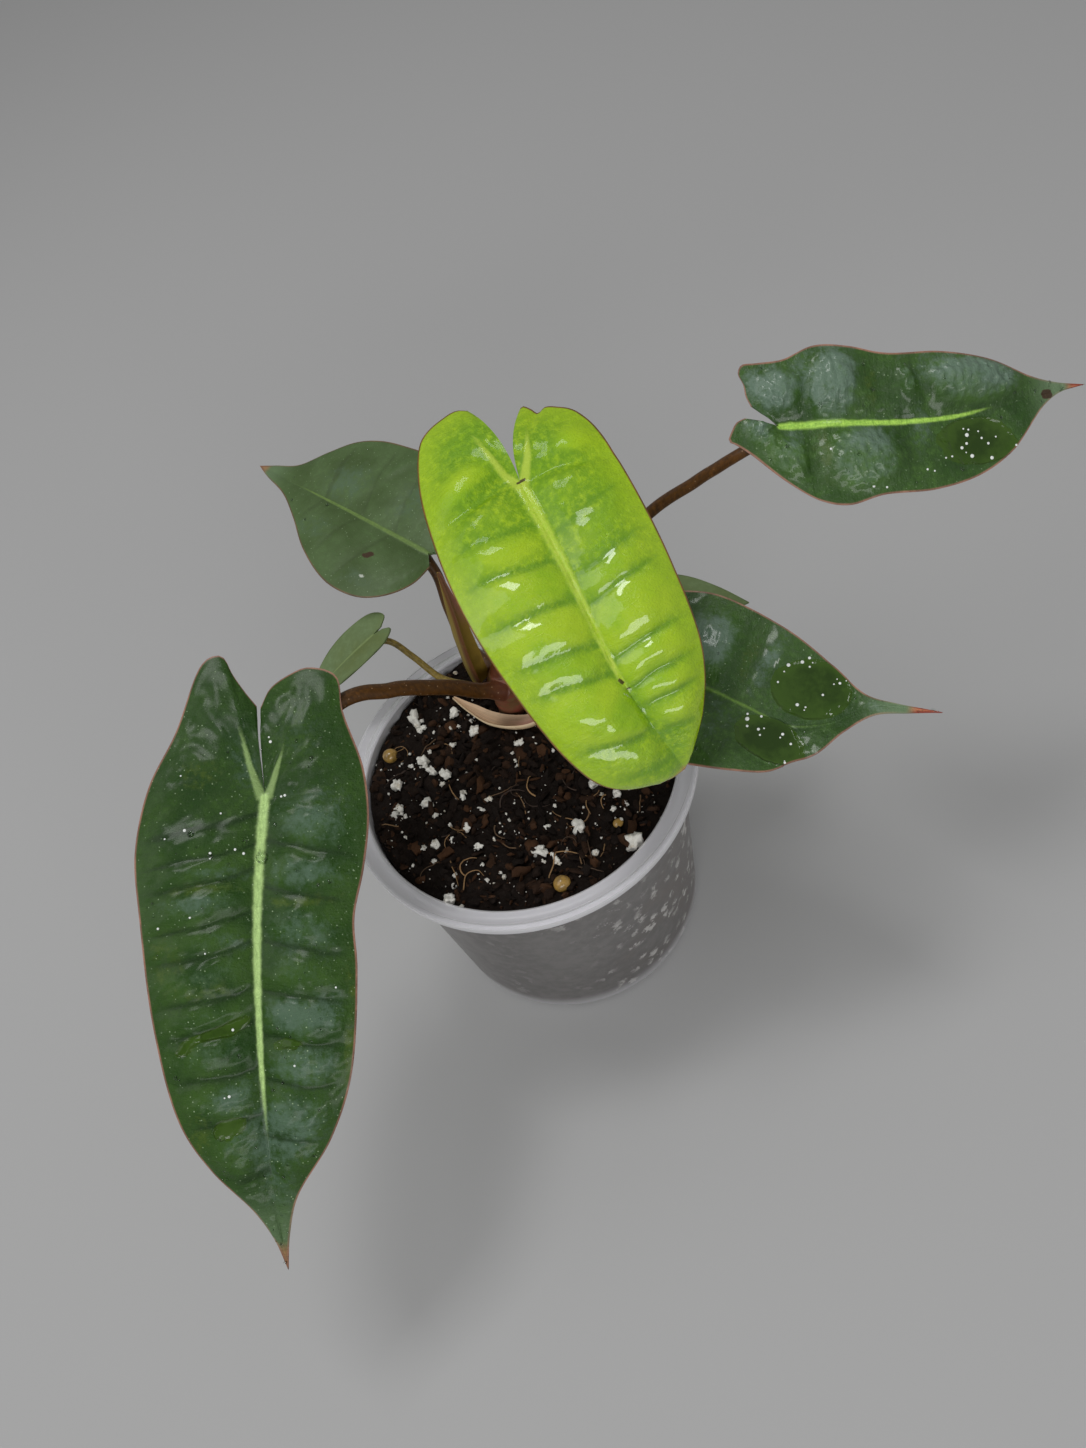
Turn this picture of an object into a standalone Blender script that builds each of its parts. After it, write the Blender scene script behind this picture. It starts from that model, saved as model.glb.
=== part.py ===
"""A young philodendron billietiae in a clear nursery cup.

The origin is the centre of the cup's foot, +Z is up, and the front of the plant looks along -Y.
Sizes and places below are in millimetres, and MM turns them into metres where a mesh is made.
"""
import math
from dataclasses import dataclass

import bpy
import bmesh
import numpy as np

MM = 0.001

# Driving sizes of the cup
POT_HEIGHT = 72.0
POT_RIM_RADIUS = 45.0
POT_RIM_WIDTH = 4.1
POT_LIP_HEIGHT = 3.1
POT_FOOT_RADIUS = 36.6
POT_FOOT_ROUND = 3.0
POT_WALL = 0.9
POT_SKIRT_STEP = 0.6
POT_FLOOR = 1.2
POT_INNER_ROUND = 1.8
POT_SIDES = 56
DRAIN_HOLES = 5
DRAIN_RADIUS = 3.0
DRAIN_CIRCLE = 24.0
DRAIN_TURN = 0.31
DRAIN_SIDES = 12

# Gap between solids that touch on the real plant
GAP = 0.3

# Driving sizes of the soil and of what stands out of it
SOIL_TOP = 69.4
SOIL_SIDE_GAP = 0.5
SOIL_FOOT_ROUND = 2.0
SOIL_BELOW_RIM = 0.6
SOIL_RINGS = 17
SOIL_SPOKES = 46
LUMP_COUNT = 90
LUMP_RADIUS = (3.0, 7.0)
LUMP_RISE = (-0.5, 0.65)
SOIL_MOUND = 1.3
SOIL_MOUND_REACH = 15.0
GRAIN_SEED = 7
GRAINS_FROM_WALL = 3.0
STEM_CLEARING = 3.0
GRAIN_COUNT = 40
GRAIN_RADIUS = (1.9, 3.2)
GRAIN_RISE = (0.9, 1.7)

# Driving sizes of the stem
STEM_PLACE = (5.5, 18.5)
STEM_BOTTOM = 54.0
STEM_TOP = 86.2
STEM_RADIUS = 4.5
STEM_SIDES = 16
STEM_HOLE_RADIUS = 5.4
STEM_HOLE_SIDES = 20
STEM_RING_DEPTH = 0.22
STEM_RING_ROWS = 7

# Blades: thickness, columns of points from the midrib to the margin, widths over which the
# relief comes in, and how sharp the quilts and the blisters are
BLADE_THICKNESS = 0.9
COLUMN_PLACES = (0.0, 0.14, 0.34, 0.56, 0.8, 1.0)
SIMPLE_COLUMN_PLACES = (0.0, 0.2, 0.44, 0.73, 1.0)
SMALL_COLUMN_PLACES = (0.0, 0.32, 0.68, 1.0)
SWELL_WIDTH = 14.0
PUFF_WIDTHS = (4.0, 12.0)
PUFF_SHARPNESS = 0.85
BLISTER_SHARPNESS = 1.4

# Stalks: how far past the sinus they meet the midrib, and points for each stretch of their route
STALK_FORWARD = 1.6
STALK_POINTS = 3

# Colours, linear values for a Principled BSDF
POT_COLOUR = (0.62, 0.64, 0.68)
SOIL_COLOUR = (0.020, 0.011, 0.008)
LIME = (0.28, 0.48, 0.015)
DARK_GREEN = (0.018, 0.060, 0.020)
DEEP_GREEN = (0.012, 0.050, 0.014)
MATTE_GREEN = (0.030, 0.070, 0.026)
PALE_GREEN = (0.13, 0.24, 0.07)
STALK_BROWN = (0.13, 0.048, 0.016)
STALK_OLIVE = (0.25, 0.17, 0.035)
STEM_GREEN = (0.10, 0.12, 0.03)
SHEATH_OLIVE = (0.20, 0.12, 0.035)
SHEATH_CREAM = (0.52, 0.32, 0.18)


@dataclass
class Blade:
    """One leaf blade.

    Its outline is given on the flattened blade: the first number of a point is the way from the
    sinus towards the tip, the second is the way out to the left (+) or right (-) of the midrib.
    The two inner numbers bow the lobes' edges towards the sinus. Veins are ways along the midrib,
    puffs the heights of the quilts between them, and spread says how a quilt rises and falls on
    its way out. A dent is (way, side, long, wide, turn in degrees, height).
    """
    name: str
    colour: tuple
    sinus: tuple
    tip: tuple
    facing: tuple
    bow: tuple
    midrib: list
    left: list
    right: list
    fan: float = 8.0
    lobe_rows: int = 7
    side_rows: int = 24
    columns: tuple = COLUMN_PLACES
    rise: float = 0.0
    swell: float = 0.0
    veins: tuple = ((), ())
    puffs: tuple = ((), ())
    slant: float = 0.3
    spread: tuple = (0.8, 1.1)
    sweep: float = 0.18
    inner: tuple = (0.0, 0.0)
    dents: tuple = ()
    roughness: float = 0.35


@dataclass
class Stalk:
    """One leaf stalk.

    Its foot is a bearing round the stem in degrees, or None on the stem's top, and a height.
    """
    leaf: str
    colour: tuple
    bearing: float
    height: float
    route: list
    foot_radius: float
    neck_radius: float


TOWARDS_FRONT = (-0.03, -0.6, 0.8)

BLADES = (
    Blade(
        name="leaf_a", colour=LIME, roughness=0.22,
        sinus=(24.3, 14.1, 143.0), tip=(31.9, -38.5, 99.0), facing=TOWARDS_FRONT,
        bow=((-0.3, 24.0), (0.0, 20.0), (0.4, 4.0), (0.75, -12.0), (0.9, -26.0), (1.0, -60.0)),
        midrib=[(20.0, -1.2), (46.0, -3.0)],
        left=[(-15.8, 7.6), (-16.9, 9.2), (-15.0, 10.5), (-13.3, 11.2), (-13.8, 13.2),
              (-12.2, 15.5), (-9.9, 17.7), (-6.0, 19.2), (-1.0, 19.9), (13.0, 19.6), (31.0, 18.0),
              (49.0, 14.8), (60.0, 9.3), (67.5, 3.4)],
        right=[(-23.2, -1.2), (-24.8, -3.4), (-24.7, -7.2), (-23.8, -10.9), (-21.8, -13.8),
               (-12.0, -18.8), (3.0, -22.4), (20.0, -24.2), (38.0, -23.4), (55.0, -20.8),
               (64.0, -17.2), (69.5, -11.0), (72.0, -5.0)],
        inner=(1.1, 1.5), lobe_rows=12, side_rows=48, swell=2.2, slant=0.35, spread=(0.8, 1.1),
        veins=((1.0, 14.0, 24.0, 30.5, 42.0, 49.0, 53.5, 60.0),
               (0.0, 10.0, 18.5, 28.0, 37.5, 44.0, 58.0, 66.0)),
        puffs=((0.25, 0.4, 0.8, 1.8, 1.5, 0.8, 0.7), (0.3, 0.8, 1.3, 1.6, 0.9, 2.1, 0.5)),
        dents=((2.0, 11.0, 2.4, 9.0, -14.0, -1.1), (-2.0, 14.0, 4.0, 4.0, 0.0, 0.9),
               (-1.5, -8.0, 2.4, 8.0, 14.0, -1.1), (-6.0, -11.0, 3.6, 7.0, 14.0, 0.8))),
    Blade(
        name="leaf_b", colour=DARK_GREEN,
        sinus=(-52.7, -9.1, 112.0), tip=(-89.0, -85.8, 56.0), facing=TOWARDS_FRONT,
        bow=((-0.3, 14.0), (0.0, 14.0), (0.5, 2.0), (1.0, -22.0)),
        midrib=[(22.0, -1.4), (43.0, -1.7), (75.0, -1.0)],
        left=[(-20.0, -1.3), (-24.4, 0.8), (-27.6, 5.6), (-28.7, 9.2), (-26.4, 15.4), (-18.0, 17.0),
              (-5.0, 21.4), (6.0, 22.5), (17.0, 21.2), (27.0, 19.0), (38.0, 19.3), (59.0, 17.2),
              (72.0, 12.3), (85.0, 4.0), (94.0, 1.4)],
        right=[(-20.5, -2.2), (-24.0, -4.9), (-28.8, -8.0), (-30.7, -8.8), (-32.5, -10.2),
               (-32.2, -12.8), (-29.8, -14.9), (-15.0, -19.6), (-3.0, -24.9), (11.0, -27.3),
               (26.0, -26.0), (48.0, -23.3), (68.0, -18.7), (78.0, -13.2), (88.0, -5.4),
               (95.0, -2.0)],
        lobe_rows=12, side_rows=42, rise=0.05, swell=1.5,
        veins=((0.0, 9.0, 19.0, 30.5, 40.5, 50.0, 59.0, 71.0, 82.0),
               (4.0, 10.0, 15.5, 24.5, 31.0, 40.0, 47.0, 56.0, 66.0, 78.0)),
        puffs=((0.9, 0.9, 0.9, 0.8, 1.3, 1.0, 1.0, 0.5),
               (0.4, 0.7, 1.0, 0.7, 1.0, 0.8, 1.0, 1.0, 0.7)),
        dents=((3.0, -13.0, 4.0, 9.0, 10.0, -1.1),)),
    Blade(
        name="leaf_c", colour=DEEP_GREEN,
        sinus=(78.8, 5.3, 137.0), tip=(144.2, -6.8, 124.0), facing=TOWARDS_FRONT,
        bow=((-0.3, 8.0), (0.0, 8.0), (0.5, 0.0), (1.0, -10.0)),
        midrib=[(12.0, -1.4), (26.0, -3.1), (37.0, -3.4), (50.0, -2.0)],
        left=[(-5.2, 5.2), (-6.0, 7.6), (-6.1, 9.8), (-6.9, 12.4), (-6.0, 13.8), (-3.0, 13.7),
              (2.5, 13.5), (9.0, 15.2), (16.0, 14.0), (24.0, 11.4), (35.0, 10.2), (45.0, 7.4),
              (55.0, 2.8), (61.0, 1.0)],
        right=[(-6.8, 3.0), (-8.7, 2.4), (-9.9, 0.8), (-10.8, -1.1), (-9.4, -2.2), (-6.5, -5.0),
               (-1.0, -11.2), (6.0, -17.0), (11.5, -18.8), (19.0, -17.8), (30.0, -18.3),
               (40.0, -16.6), (49.0, -12.0), (57.0, -3.8), (61.5, -1.2)],
        fan=5.0, lobe_rows=11, side_rows=34, rise=0.1, swell=0.7,
        dents=((0.8, 7.0, 3.8, 4.0, 0.0, 1.7), (11.8, 6.0, 4.6, 6.5, -12.0, 2.1),
               (21.5, 5.0, 2.4, 6.0, 5.0, -0.6), (27.0, 5.2, 2.4, 4.0, 10.0, 0.8),
               (31.5, 3.0, 2.2, 5.0, 15.0, -0.8), (41.0, 3.3, 9.5, 4.6, -8.0, 1.9),
               (-3.6, -1.0, 3.2, 3.0, -40.0, 1.0), (1.0, -7.0, 4.0, 3.6, -40.0, 1.2),
               (16.0, -9.4, 7.0, 5.8, -10.0, 2.1), (40.8, -9.3, 9.8, 5.2, 0.0, -2.4))),
    Blade(
        name="leaf_d", colour=DEEP_GREEN,
        sinus=(30.4, -4.9, 98.0), tip=(87.5, -47.6, 92.0), facing=(0.0, -0.25, 1.0),
        bow=((-0.3, 12.0), (0.0, 12.0), (0.5, 0.0), (1.0, -12.0)),
        midrib=[(20.0, -3.4), (32.0, -6.8), (41.0, -9.2), (49.0, -7.2), (57.0, -2.0)],
        left=[(-8.0, 4.0), (-13.0, 9.0), (-10.0, 15.0), (0.0, 18.5), (10.0, 19.2), (19.0, 19.0),
              (29.0, 15.7), (39.0, 11.1), (48.0, 5.9), (56.0, 0.6), (62.0, -0.2)],
        right=[(-9.0, -3.0), (-14.0, -10.0), (-8.0, -17.0), (6.0, -21.5), (20.0, -22.6),
               (31.0, -22.4), (38.0, -21.2), (42.5, -18.0), (47.5, -15.0), (52.5, -8.8),
               (58.0, -3.9), (65.0, -1.9)],
        lobe_rows=8, side_rows=33, rise=0.08, swell=0.4,
        dents=((44.0, -1.0, 9.6, 7.4, -8.0, -3.2), (36.5, -13.6, 9.6, 5.2, -18.0, -2.8),
               (21.0, 7.0, 6.5, 7.5, 20.0, 1.5), (30.0, 3.5, 2.6, 8.0, -12.0, -1.6),
               (18.0, -12.0, 6.0, 6.0, 0.0, 1.1), (8.0, 9.0, 4.0, 7.0, 0.0, -1.0))),
    Blade(
        name="leaf_e", colour=MATTE_GREEN, roughness=0.55,
        sinus=(0.9, 52.1, 100.0), tip=(-33.0, 112.3, 101.0), facing=(0.0, -0.2, 1.0),
        bow=((-0.3, 8.0), (0.0, 8.0), (0.5, 0.0), (1.0, -10.0)),
        midrib=[(20.0, 0.6), (50.0, 0.7)],
        left=[(-3.0, 3.0), (-2.6, 9.0), (0.5, 15.0), (6.0, 19.7), (13.0, 21.4), (20.0, 20.8),
              (31.0, 16.6), (42.0, 10.0), (52.0, 5.0), (63.0, 2.1)],
        right=[(-6.0, -3.0), (-10.0, -9.0), (-6.0, -17.0), (6.0, -22.6), (17.0, -24.2),
               (27.0, -23.3), (36.0, -21.5), (43.0, -18.0), (49.0, -11.8), (55.0, -4.9),
               (63.0, -2.0)],
        lobe_rows=6, side_rows=24, columns=SIMPLE_COLUMN_PLACES, rise=0.05, swell=0.9,
        veins=((0.0, 12.0, 24.0, 37.0), (0.0, 12.0, 24.0, 37.0)),
        puffs=((0.35, 0.3, 0.25), (0.35, 0.3, 0.25)),
        dents=((33.0, -9.0, 8.0, 7.0, 0.0, -0.7),)),
    Blade(
        name="leaf_f", colour=PALE_GREEN, roughness=0.55,
        sinus=(-20.6, 41.3, 92.0), tip=(-45.0, 38.5, 80.5), facing=(-0.2, 0.1, 0.95),
        bow=((-0.3, 6.0), (0.0, 6.0), (1.0, -8.0)),
        midrib=[(10.0, 0.0)],
        left=[(-3.0, 0.6), (-5.2, 3.0), (-2.4, 6.4), (5.0, 7.6), (13.0, 6.8), (21.0, 3.6)],
        right=[(-3.0, -0.6), (-5.2, -3.0), (-2.4, -6.4), (5.0, -7.6), (13.0, -6.8), (21.0, -3.6)],
        fan=3.0, lobe_rows=4, side_rows=11, columns=SMALL_COLUMN_PLACES, rise=0.15, swell=0.3),
    Blade(
        name="leaf_g", colour=PALE_GREEN, roughness=0.55,
        sinus=(24.0, 24.5, 82.0), tip=(70.0, 10.5, 80.0), facing=(0.05, 0.1, 1.0),
        bow=((-0.3, 6.0), (0.0, 6.0), (1.0, -10.0)),
        midrib=[(20.0, 0.0)],
        left=[(-4.5, 2.0), (-7.0, 7.0), (-2.0, 12.0), (9.0, 14.2), (22.0, 13.8), (33.0, 11.0),
              (41.0, 6.0)],
        right=[(-4.5, -2.0), (-7.0, -7.0), (-2.0, -12.0), (9.0, -14.2), (22.0, -13.2), (33.0, -9.0),
               (41.0, -4.4)],
        fan=4.0, lobe_rows=4, side_rows=12, columns=SMALL_COLUMN_PLACES, rise=0.12, swell=0.3),
)

STALKS = (
    Stalk("leaf_a", STALK_BROWN, None, STEM_TOP, [(9.0, 20.5, 100.0), (16.0, 20.8, 122.0)],
          1.9, 1.5),
    Stalk("leaf_b", STALK_BROWN, 238.0, 81.6, [(-0.8, 14.6, 86.0), (-7.1, 12.7, 94.0),
                                               (-19.7, 8.6, 107.0), (-30.2, 6.2, 113.0),
                                               (-43.1, 0.7, 110.2)],
          2.0, 1.6),
    Stalk("leaf_c", STALK_BROWN, 8.0, 81.6, [(24.0, 20.5, 95.0), (51.0, 19.0, 115.0),
                                             (62.6, 14.4, 123.0), (71.4, 8.8, 131.0)],
          1.7, 1.2),
    Stalk("leaf_d", STALK_BROWN, 315.0, 81.2, [(18.0, 5.5, 89.6), (24.5, 0.0, 93.0)],
          1.7, 1.3),
    Stalk("leaf_e", STALK_BROWN, 88.0, 80.4, [(0.6, 33.0, 82.6), (0.0, 42.9, 87.0),
                                               (0.8, 49.6, 93.6)],
          1.7, 1.3),
    Stalk("leaf_f", STALK_OLIVE, 138.0, 76.2, [(-3.6, 26.4, 76.2), (-9.3, 30.9, 78.0),
                                               (-13.7, 36.7, 84.0), (-18.0, 40.4, 88.8)],
          1.0, 0.8),
    Stalk("leaf_g", STALK_OLIVE, 30.0, 77.2, [(15.0, 23.6, 77.8), (20.5, 24.6, 79.4)],
          1.1, 0.9),
)

# Sheaths: thickness, and rows and columns of points
SHEATH_THICKNESS = 0.8
SHEATH_ROWS = 14
SHEATH_COLUMNS = 6

# Standing sheath: centre line, half width at each point, hollow side and how far it curls
STANDING_SHEATH = [(-0.2, 21.1, 80.0), (-0.8, 22.0, 86.0), (-0.6, 24.4, 95.0), (0.2, 27.8, 105.0),
                   (0.7, 31.2, 113.0)]
STANDING_HALF_WIDTH = (3.3, 3.9, 3.5, 2.2, 0.35)
STANDING_HOLLOW = (0.91, -0.41, 0.0)
STANDING_CURL = 0.42

# Fallen sheath: a peeled strip that lies on the soil round the front of the stem
FALLEN_SHEATH = [(11.5, 9.0, 73.2), (6.0, 9.2, 72.9), (-0.7, 13.6, 72.6), (-5.4, 21.0, 72.3),
                 (-8.6, 27.4, 72.1)]
FALLEN_HALF_WIDTH = (2.2, 2.6, 2.5, 1.7, 0.35)
FALLEN_HOLLOW = (0.15, 0.35, 0.9)
FALLEN_CURL = 0.38


def clear_scene():
    """Remove what the new file holds."""
    for item in list(bpy.data.objects):
        bpy.data.objects.remove(item, do_unlink=True)


def make_material(name, colour, roughness, metallic=0.0):
    """A plain Principled material in a sub-part's own colour."""
    material = bpy.data.materials.new(name)
    material.use_nodes = True
    shader = material.node_tree.nodes["Principled BSDF"]
    shader.inputs["Base Color"].default_value = (*colour, 1.0)
    shader.inputs["Roughness"].default_value = roughness
    shader.inputs["Metallic"].default_value = metallic
    material.diffuse_color = (*colour, 1.0)
    return material


def add_object(name, data, material, parent=None):
    """Put a mesh or a curve in the scene under its node name."""
    item = bpy.data.objects.new(name, data)
    bpy.context.collection.objects.link(item)
    data.materials.append(material)
    item.parent = parent
    return item


def mesh_from(name, points, faces):
    """A mesh from points in millimetres."""
    mesh = bpy.data.meshes.new(name)
    mesh.from_pydata([tuple(MM * float(c) for c in p) for p in points], [], faces)
    mesh.validate()
    mesh.update()
    return mesh


def shade_round(mesh, angle=40.0):
    """Smooth shading that keeps the edges sharper than the angle."""
    mesh.shade_smooth()
    mesh.set_sharp_from_angle(angle=math.radians(angle))


def unit(vector):
    """The vector's direction."""
    vector = np.asarray(vector, float)
    return vector / np.linalg.norm(vector)


def smooth_curve(points, steps=24):
    """A dense centripetal curve through a few points in the plane or in space."""
    knots = np.asarray(points, float)
    knots = np.vstack([2 * knots[0] - knots[1], knots, 2 * knots[-1] - knots[-2]])
    found = []
    for i in range(1, len(knots) - 2):
        a, b, c, d = knots[i - 1:i + 3]
        times = [0.0]
        for start, end in ((a, b), (b, c), (c, d)):
            times.append(times[-1] + math.sqrt(max(np.linalg.norm(end - start), 1e-6)))
        t0, t1, t2, t3 = times
        for t in np.linspace(t1, t2, steps, endpoint=False):
            ab = ((t1 - t) * a + (t - t0) * b) / (t1 - t0)
            bc = ((t2 - t) * b + (t - t1) * c) / (t2 - t1)
            cd = ((t3 - t) * c + (t - t2) * d) / (t3 - t2)
            abc = ((t2 - t) * ab + (t - t0) * bc) / (t2 - t0)
            bcd = ((t3 - t) * bc + (t - t1) * cd) / (t3 - t1)
            found.append(((t2 - t) * abc + (t - t1) * bcd) / (t2 - t1))
    found.append(knots[-2])
    return np.array(found)


def along(curve, places):
    """Points of a dense curve at shares of its length."""
    steps = np.linalg.norm(np.diff(curve, axis=0), axis=1)
    run = np.concatenate([[0.0], np.cumsum(steps)]) / steps.sum()
    return np.stack([np.interp(places, run, curve[:, k]) for k in range(curve.shape[1])], axis=-1)


class BladeForm:
    """Turns places on a flattened blade into points in space."""

    STEP = 0.5
    REACH = 45.0

    def __init__(self, blade):
        self.blade = blade
        self.sinus = np.array(blade.sinus)
        chord = np.array(blade.tip) - self.sinus
        span = np.linalg.norm(chord)
        ahead = chord / span
        facing = unit(np.array(blade.facing) - np.dot(blade.facing, ahead) * ahead)
        self.length = span
        for _ in range(12):
            ways, angles = self.pitch(0.0, self.length)
            along_chord, above = self.sum_pitch(ways, angles)
            self.length *= span / math.hypot(along_chord[-1], above[-1])
        turn = math.atan2(above[-1], along_chord[-1])
        self.ahead = ahead * math.cos(turn) - facing * math.sin(turn)
        self.facing = facing * math.cos(turn) + ahead * math.sin(turn)
        self.leftward = np.cross(self.facing, self.ahead)
        self.ways, self.angles = self.pitch(-self.REACH, self.length + self.REACH)
        run, rise = self.sum_pitch(self.ways, self.angles)
        self.run = run - np.interp(0.0, self.ways, run)
        self.rise = rise - np.interp(0.0, self.ways, rise)
        self.midrib = smooth_curve([(0.0, 0.0), *blade.midrib, (self.length, 0.0)])

    def pitch(self, start, end):
        """The midrib's slope along the blade."""
        ways = np.arange(start, end + self.STEP, self.STEP)
        shares = [place for place, _ in self.blade.bow]
        slopes = [math.radians(slope) for _, slope in self.blade.bow]
        return ways, np.interp(ways / self.length, shares, slopes)

    def sum_pitch(self, ways, angles):
        """The midrib's run and rise, summed from its slope."""
        middle = (angles[1:] + angles[:-1]) / 2
        steps = np.diff(ways)
        run = np.concatenate([[0.0], np.cumsum(np.cos(middle) * steps)])
        rise = np.concatenate([[0.0], np.cumsum(np.sin(middle) * steps)])
        return run, rise

    def middle(self, way):
        """How far the midrib wanders to the left at a way along the blade."""
        return np.interp(way, self.midrib[:, 0], self.midrib[:, 1])

    def point(self, way, side, height):
        """A point at a way along, a way to the left and a height over the blade."""
        angle = np.interp(way, self.ways, self.angles)
        run = np.interp(way, self.ways, self.run) - height * np.sin(angle)
        rise = np.interp(way, self.ways, self.rise) + height * np.cos(angle)
        return (self.sinus + run[..., None] * self.ahead + side[..., None] * self.leftward
                + rise[..., None] * self.facing)

    def outline(self, points):
        """The lobe part and the side part of one half's margin, as dense curves."""
        curve = smooth_curve([*points, (self.length, 0.0)])
        behind = np.nonzero(curve[:, 0] < self.blade.fan)[0][-1]
        return curve[:behind + 2], curve[behind + 1:]

    def stations(self, rows):
        """Margin points of both halves, and where their veins leave the midrib."""
        halves = [self.outline(self.blade.left), self.outline(self.blade.right)]
        places = np.linspace(0.0, 1.0, rows + 1)
        sides = [along(side, places) for _, side in halves]
        fan = self.blade.fan
        starts = sum((side[:, 0] - fan) / (self.length - fan) for side in sides) / 2
        starts = np.maximum.accumulate(np.clip(starts, 0.0, 1.0))
        starts = starts * 0.98 + places * 0.02
        starts[0] = 0.0
        return [lobe for lobe, _ in halves], sides, starts * self.length

    def relief(self, way, side, share, start, width, half):
        """Height of the blade's surface over its bowed middle sheet."""
        blade = self.blade
        swell = np.sin(np.pi * share) * np.clip(width / SWELL_WIDTH, 0.0, 1.0)
        height = blade.rise * np.abs(side - self.middle(way)) + blade.swell * swell
        if blade.veins[half]:
            height = height + self.quilts(way, share, start, width, half)
        return height + self.dents(way, side)

    def quilts(self, way, share, start, width, half):
        """Height of the puffed quilts between the veins."""
        blade = self.blade
        veins = np.array(blade.veins[half])
        place = start + blade.slant * (way - start)
        low = np.clip(np.searchsorted(veins, place) - 1, 0, len(veins) - 2)
        phase = np.clip((place - veins[low]) / (veins[low + 1] - veins[low]), 0.0, 1.0)
        rise, fall = blade.spread
        peak = rise / (rise + fall)
        reach = (share / peak) ** rise * ((1.0 - share) / (1.0 - peak)) ** fall
        narrow, wide = PUFF_WIDTHS
        fade = np.clip((width - narrow) / (wide - narrow), 0.0, 1.0)
        puff = np.array(blade.puffs[half])[low]
        return puff * np.sin(np.pi * phase) ** PUFF_SHARPNESS * reach * fade

    def dents(self, way, side):
        """Height of the single blisters, folds and cups."""
        height = np.zeros_like(way)
        for at_way, at_side, long, wide, turn, depth in self.blade.dents:
            across = math.radians(turn)
            ahead = (way - at_way) * math.cos(across) + (side - at_side) * math.sin(across)
            aside = (side - at_side) * math.cos(across) - (way - at_way) * math.sin(across)
            reach = (ahead / long) ** 2 + (aside / wide) ** 2
            height = height + depth * np.exp(-reach ** (BLISTER_SHARPNESS if depth > 0.0 else 1.0))
        return height

    def lobe_bow(self, share, half):
        """How far the rows of a lobe bow towards the sinus."""
        from_sinus = np.arange(len(share)) / self.blade.lobe_rows
        near = np.clip(1.0 - from_sinus, 0.0, 1.0)[:, None] ** 4
        towards_sinus = -1.0 if half == 0 else 1.0
        return towards_sinus * self.blade.inner[half] * near * 4.0 * share * (1.0 - share)

    def half_rows(self, margin, starts, half):
        """Rows of surface places from the midrib out to one half's margin."""
        share = np.array(self.blade.columns)[None, :] * np.ones((len(margin), 1))
        start = starts[:, None]
        middle = self.middle(starts)[:, None]
        out = margin[:, 1:2] - middle
        width = np.hypot(margin[:, 0:1] - start, out)
        sweep = self.blade.sweep * np.abs(out) * share * (1.0 - share) * np.clip(start / 6.0, 0.0, 1.0)
        way = start + (margin[:, 0:1] - start) * share + sweep
        side = middle + out * share + self.lobe_bow(share, half)
        height = self.relief(way, side, share, start, width, half)
        return way, side, height


def blade_mesh(form):
    """One closed sheet: the upper face, the same triangles below it, and the margin wall."""
    blade = form.blade
    lobes, sides, starts = form.stations(blade.side_rows)
    lobe_places = np.linspace(0.0, 1.0, blade.lobe_rows + 1)[:-1]
    upper = []
    faces = []
    columns = len(blade.columns)

    def add(way, side, height):
        upper.append((way, side, height))
        return len(upper) - 1

    first = np.zeros(1)
    sinus_height = form.relief(first, first, first, first, first, 0)
    sinus = add(0.0, 0.0, float(sinus_height[0]))
    spine = [sinus]
    for start in starts[1:]:
        way = np.array([start])
        middle = form.middle(way)
        rise = form.relief(way, middle, np.zeros(1), way, np.full(1, 20.0), 0)
        spine.append(add(float(start), float(middle[0]), float(rise[0])))
    rims = []
    for half, (lobe, side_points) in enumerate(zip(lobes, sides)):
        margin = np.vstack([along(lobe, lobe_places), side_points])
        vein_starts = np.concatenate([np.zeros(blade.lobe_rows), starts])
        way, side, height = form.half_rows(margin, vein_starts, half)
        rows = []
        for i in range(len(margin) - 1):
            inner = spine[max(0, i - blade.lobe_rows)]
            outer = [add(way[i, j], side[i, j], height[i, j]) for j in range(1, columns)]
            rows.append([inner, *outer])
        tip = spine[-1]
        for row, following in zip(rows, rows[1:]):
            for j in range(columns - 1):
                ring = [row[j], row[j + 1], following[j + 1], following[j]]
                add_patch(faces, ring, half)
        for j in range(columns - 1):
            add_patch(faces, [rows[-1][j], rows[-1][j + 1], tip], half)
        rims.append(rows)
    border = outer_border(rims, spine[-1])
    return close_sheet(form, np.array(upper), faces, border)


def add_patch(faces, ring, half):
    """One or two triangles of the upper face, turned to face up."""
    ring = [v for k, v in enumerate(ring) if v != ring[k - 1]]
    if half == 0:
        ring = ring[::-1]
    for k in range(1, len(ring) - 1):
        faces.append((ring[0], ring[k], ring[k + 1]))


def outer_border(rims, tip):
    """The loop of edge points, from the sinus round the left half and back by the right."""
    left, right = rims
    loop = list(left[0][:-1])
    loop += [row[-1] for row in left]
    loop.append(tip)
    loop += [row[-1] for row in reversed(right)]
    loop += list(reversed(right[0][1:-1]))
    return loop


def close_sheet(form, upper, faces, border):
    """Give the upper face its thickness."""
    count = len(upper)
    top = form.point(upper[:, 0], upper[:, 1], upper[:, 2])
    bottom = form.point(upper[:, 0], upper[:, 1], upper[:, 2] - BLADE_THICKNESS)
    below = [(c + count, b + count, a + count) for a, b, c in faces]
    wall = []
    for here, following in zip(border, border[1:] + border[:1]):
        wall.append((here, following, following + count))
        wall.append((here, following + count, here + count))
    return np.vstack([top, bottom]), [*faces, *below, *wall]


def face_outward(mesh):
    """Turn every face of a closed mesh to the outside."""
    shell = bmesh.new()
    shell.from_mesh(mesh)
    bmesh.ops.recalc_face_normals(shell, faces=shell.faces)
    if shell.calc_volume(signed=True) < 0.0:
        bmesh.ops.reverse_faces(shell, faces=shell.faces)
    shell.to_mesh(mesh)
    shell.free()


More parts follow.
